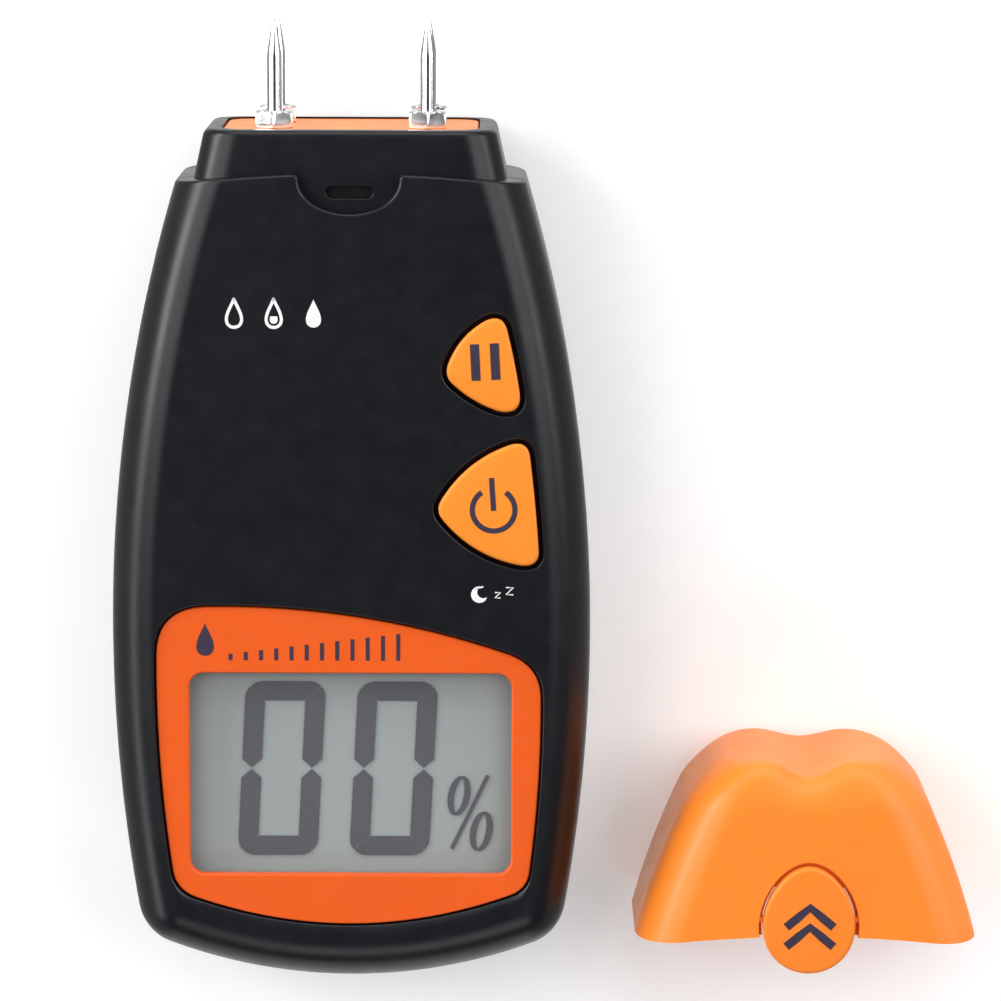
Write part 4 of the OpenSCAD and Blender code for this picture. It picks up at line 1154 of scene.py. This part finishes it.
def below_rim(margin):
    """All that lies below the arched line where the cap meets the shoulder."""
    base = CAP_AT + Vector((0, -Y_SHOULDER, 0))
    half = SHOULDER_W / 2 + 6
    line = []
    for i in range(49):
        x = half - 2 * half * i / 48
        line.append(Vector((x, ARCH_C.y - margin + sqrt(ARCH_R ** 2 - x * x))))
    points = [Vector((-half, Y_SHOULDER - 12)), Vector((half, Y_SHOULDER - 12))] + line
    return prism("below_rim", [p + base.xy for p in points], -1, BODY_T + 2)


def cap():
    shell = cap_form("cap_cover", 0, 0, 0, -2, CAP_H)
    inside = cap_form("cap_inside", *CAP_SKIN, -3, CAP_H - 1.5)
    at = CAP_AT.xy
    opening = flared("tab_opening", [p + at for p in egg(TAB_W, TAB_H, TAB_GAP)], GROOVE_Z, BODY_T, 0.35)
    narrow = prism("tab_way", [p + at for p in egg(TAB_W, TAB_H, 0.12)], BODY_T / 2, BODY_T)
    reach, bore = TAB_W / 2 + PIVOT_L + 0.1, PIVOT_R + 0.05
    pivot_bore = spindle("pivot_bore", [(bore, -reach), (bore, reach)], at.x, (at.y + TAB_Y, PIVOT_Z))
    shell = combine(shell, [inside, below_rim(-0.1), opening, narrow, pivot_bore], "DIFFERENCE")
    return piece(smooth(bevel(shell, 0.4, 4, 50), 34), orange_cap, "cap", ["cap_shell"])


def latch_tab():
    """Egg-shaped tab with a crowned top, two pivot pins and the hook that drops into the head's slot."""
    at = CAP_AT.xy
    outline = [p + at for p in egg(TAB_W, TAB_H)]
    z0 = BODY_T + 0.3 - TAB_T
    rings = [level(grown(outline, -0.2), z0), level(outline, z0 + 0.2)]
    rings += crowned_top(outline, 0.5, BODY_T + 0.26, 0.1, (0.96, 0.88, 0.75, 0.55, 0.35, 0.15), 2)
    reach, chamfer, tip = TAB_W / 2 + PIVOT_L, 0.15, PIVOT_R - 0.15
    pins = [(tip, -reach), (PIVOT_R, -reach + chamfer), (PIVOT_R, reach - chamfer), (tip, reach)]
    pins = spindle("pivots", pins, at.x, (at.y + TAB_Y, PIVOT_Z))
    hook = rounded_rect((at.x, SLOT_Y - Y_SHOULDER + at.y), SLOT_W - 1.2, SLOT_H - 0.6, 0.3)
    hook_z = HEAD_Z[1] - 0.8
    catch = loft("hook", [level(grown(hook, -0.25), hook_z), level(hook, hook_z + 0.3), level(hook, z0 + 0.5)])
    tab = combine(loft("tab", rings), [pins, catch], "UNION")
    return piece(smooth(tab), orange_cap, "latch", ["cap_latch"])


# ---- Studio ----

def camera():
    """Long lens above the head end, looking down and a little back along the meter."""
    data = bpy.data.cameras.new("Camera")
    data.sensor_width = 36
    data.lens = 153.9
    data.clip_start = 0.01
    data.clip_end = 20
    tilt, roll = 0.16929694, -0.00398874
    turn = (Matrix.Rotation(roll, 4, "Z") @ Matrix.Rotation(tilt, 4, "X")).transposed()
    place = (Vector((20.70, 111.65, 606.0)) + SHIFT) * MM
    obj = placed("Camera", data)
    obj.matrix_world = Matrix.Translation(place) @ turn
    bpy.context.scene.camera = obj


def softbox(name, place, size, power):
    """Rectangular light that faces the object, with its place and size in metres."""
    data = bpy.data.lights.new(name, "AREA")
    data.shape = "RECTANGLE"
    data.size, data.size_y = size
    data.energy = power
    obj = placed(name, data)
    way = Vector((0, 0, 0.01)) - Vector(place)
    obj.location = place
    obj.rotation_euler = way.to_track_quat("-Z", "Y").to_euler()


def floor():
    """Paper sweep: level under the object, and curving up far behind it."""
    shader = Shader("floor_paper", Emission_Color=(1, 1, 1, 1), Emission_Strength=0.2)
    shader.colour(shader.noise(0.05, 3), [(0.3, (0.93, 0.93, 0.93)), (0.7, (0.95, 0.95, 0.95))])
    shader.roughness(shader.noise(0.2, 2), 0.75, 0.85)
    shader.bump(shader.noise(0.9, 3), 0.1, 0.03)
    side, rise, radius = 1500, 900, 500
    profile = [(-side, 0)]
    profile += [(side - radius + radius * s, radius - radius * c) for s, c in quarter(12)]
    profile.append((side, rise))
    points = [Vector((x, y, z)) for y, z in profile for x in (-2 * side, 2 * side)]
    faces = [(2 * i, 2 * i + 1, 2 * i + 3, 2 * i + 2) for i in range(len(profile) - 1)]
    sweep = add_object("studio_floor", points, faces)
    for vertex in sweep.data.vertices:
        vertex.co.z -= 0.02 * MM
    smooth(sweep, 60, weighted=False)
    sweep.visible_glossy = False
    sweep.data.materials.append(shader.material)


def lights():
    softbox("Left box", (-0.95, 0.36, 0.34), (0.8, 0.34), 8)
    softbox("Left low", (-0.95, -0.40, 0.26), (0.6, 0.24), 1.5)
    softbox("Right box", (0.95, 0.36, 0.30), (0.8, 0.28), 3)
    softbox("Left top", (-0.70, 0.25, 1.00), (0.8, 0.8), 5.5)
    softbox("Right top", (0.75, 0.30, 0.90), (0.8, 0.8), 5.5)
    softbox("Head end", (0.1, 1.2, 0.55), (1.6, 0.6), 8.5)
    softbox("Near end", (0.1, -1.0, 0.9), (1.2, 0.6), 3.5)
    bpy.context.scene.world = surroundings()


def surroundings():
    """Dim studio: dark overhead, a bright table below towards both ends, and dark flags to left and right."""
    world = bpy.data.worlds.new("Studio")
    world.use_nodes = True
    tree = world.node_tree
    way = add_node(tree, "ShaderNodeTexCoord")
    split = add_node(tree, "ShaderNodeSeparateXYZ", {"Vector": way.outputs["Generated"]})
    sideways = add_node(tree, "ShaderNodeMath", {0: split.outputs["X"]}, operation="ABSOLUTE")
    table = ramp(tree, sideways.outputs["Value"], [(0.2, [0.95] * 3), (0.5, [0.28] * 3)])
    above = ramp(tree, split.outputs["Z"], [(0.0, [0] * 3), (0.02, [1] * 3)])
    overhead = (0.055, 0.058, 0.066, 1)
    mix = add_node(tree, "ShaderNodeMix", {"Factor": above, "A": table, "B": overhead}, data_type="RGBA")
    tree.links.new(mix.outputs["Result"], tree.nodes["Background"].inputs["Color"])
    return world


def marks_on(marks, target, material, body):
    piece(drape(marks, target), material, body)


camera()
dress_nodes()
housing = front_housing()
rear_housing()
battery_door()
hold = key_cap("hold_cap", hold_outline, "hold_button", "hold_key")
power = key_cap("power_cap", power_outline, "power_button", "power_key")
face = panel()
end_plate()
needles()
pin_nuts()
display_segments()
cap()
tab = latch_tab()
marks_on(case_marks(), housing, white_ink, "meter")
marks_on(panel_marks(), face, dark_ink, "meter")
marks_on(hold_mark(), hold, dark_ink, "hold_button")
marks_on(power_mark(), power, dark_ink, "power_button")
marks_on(arrow_mark(), tab, dark_ink, "latch")
floor()
lights()
bpy.context.scene.view_settings.view_transform = "Standard"
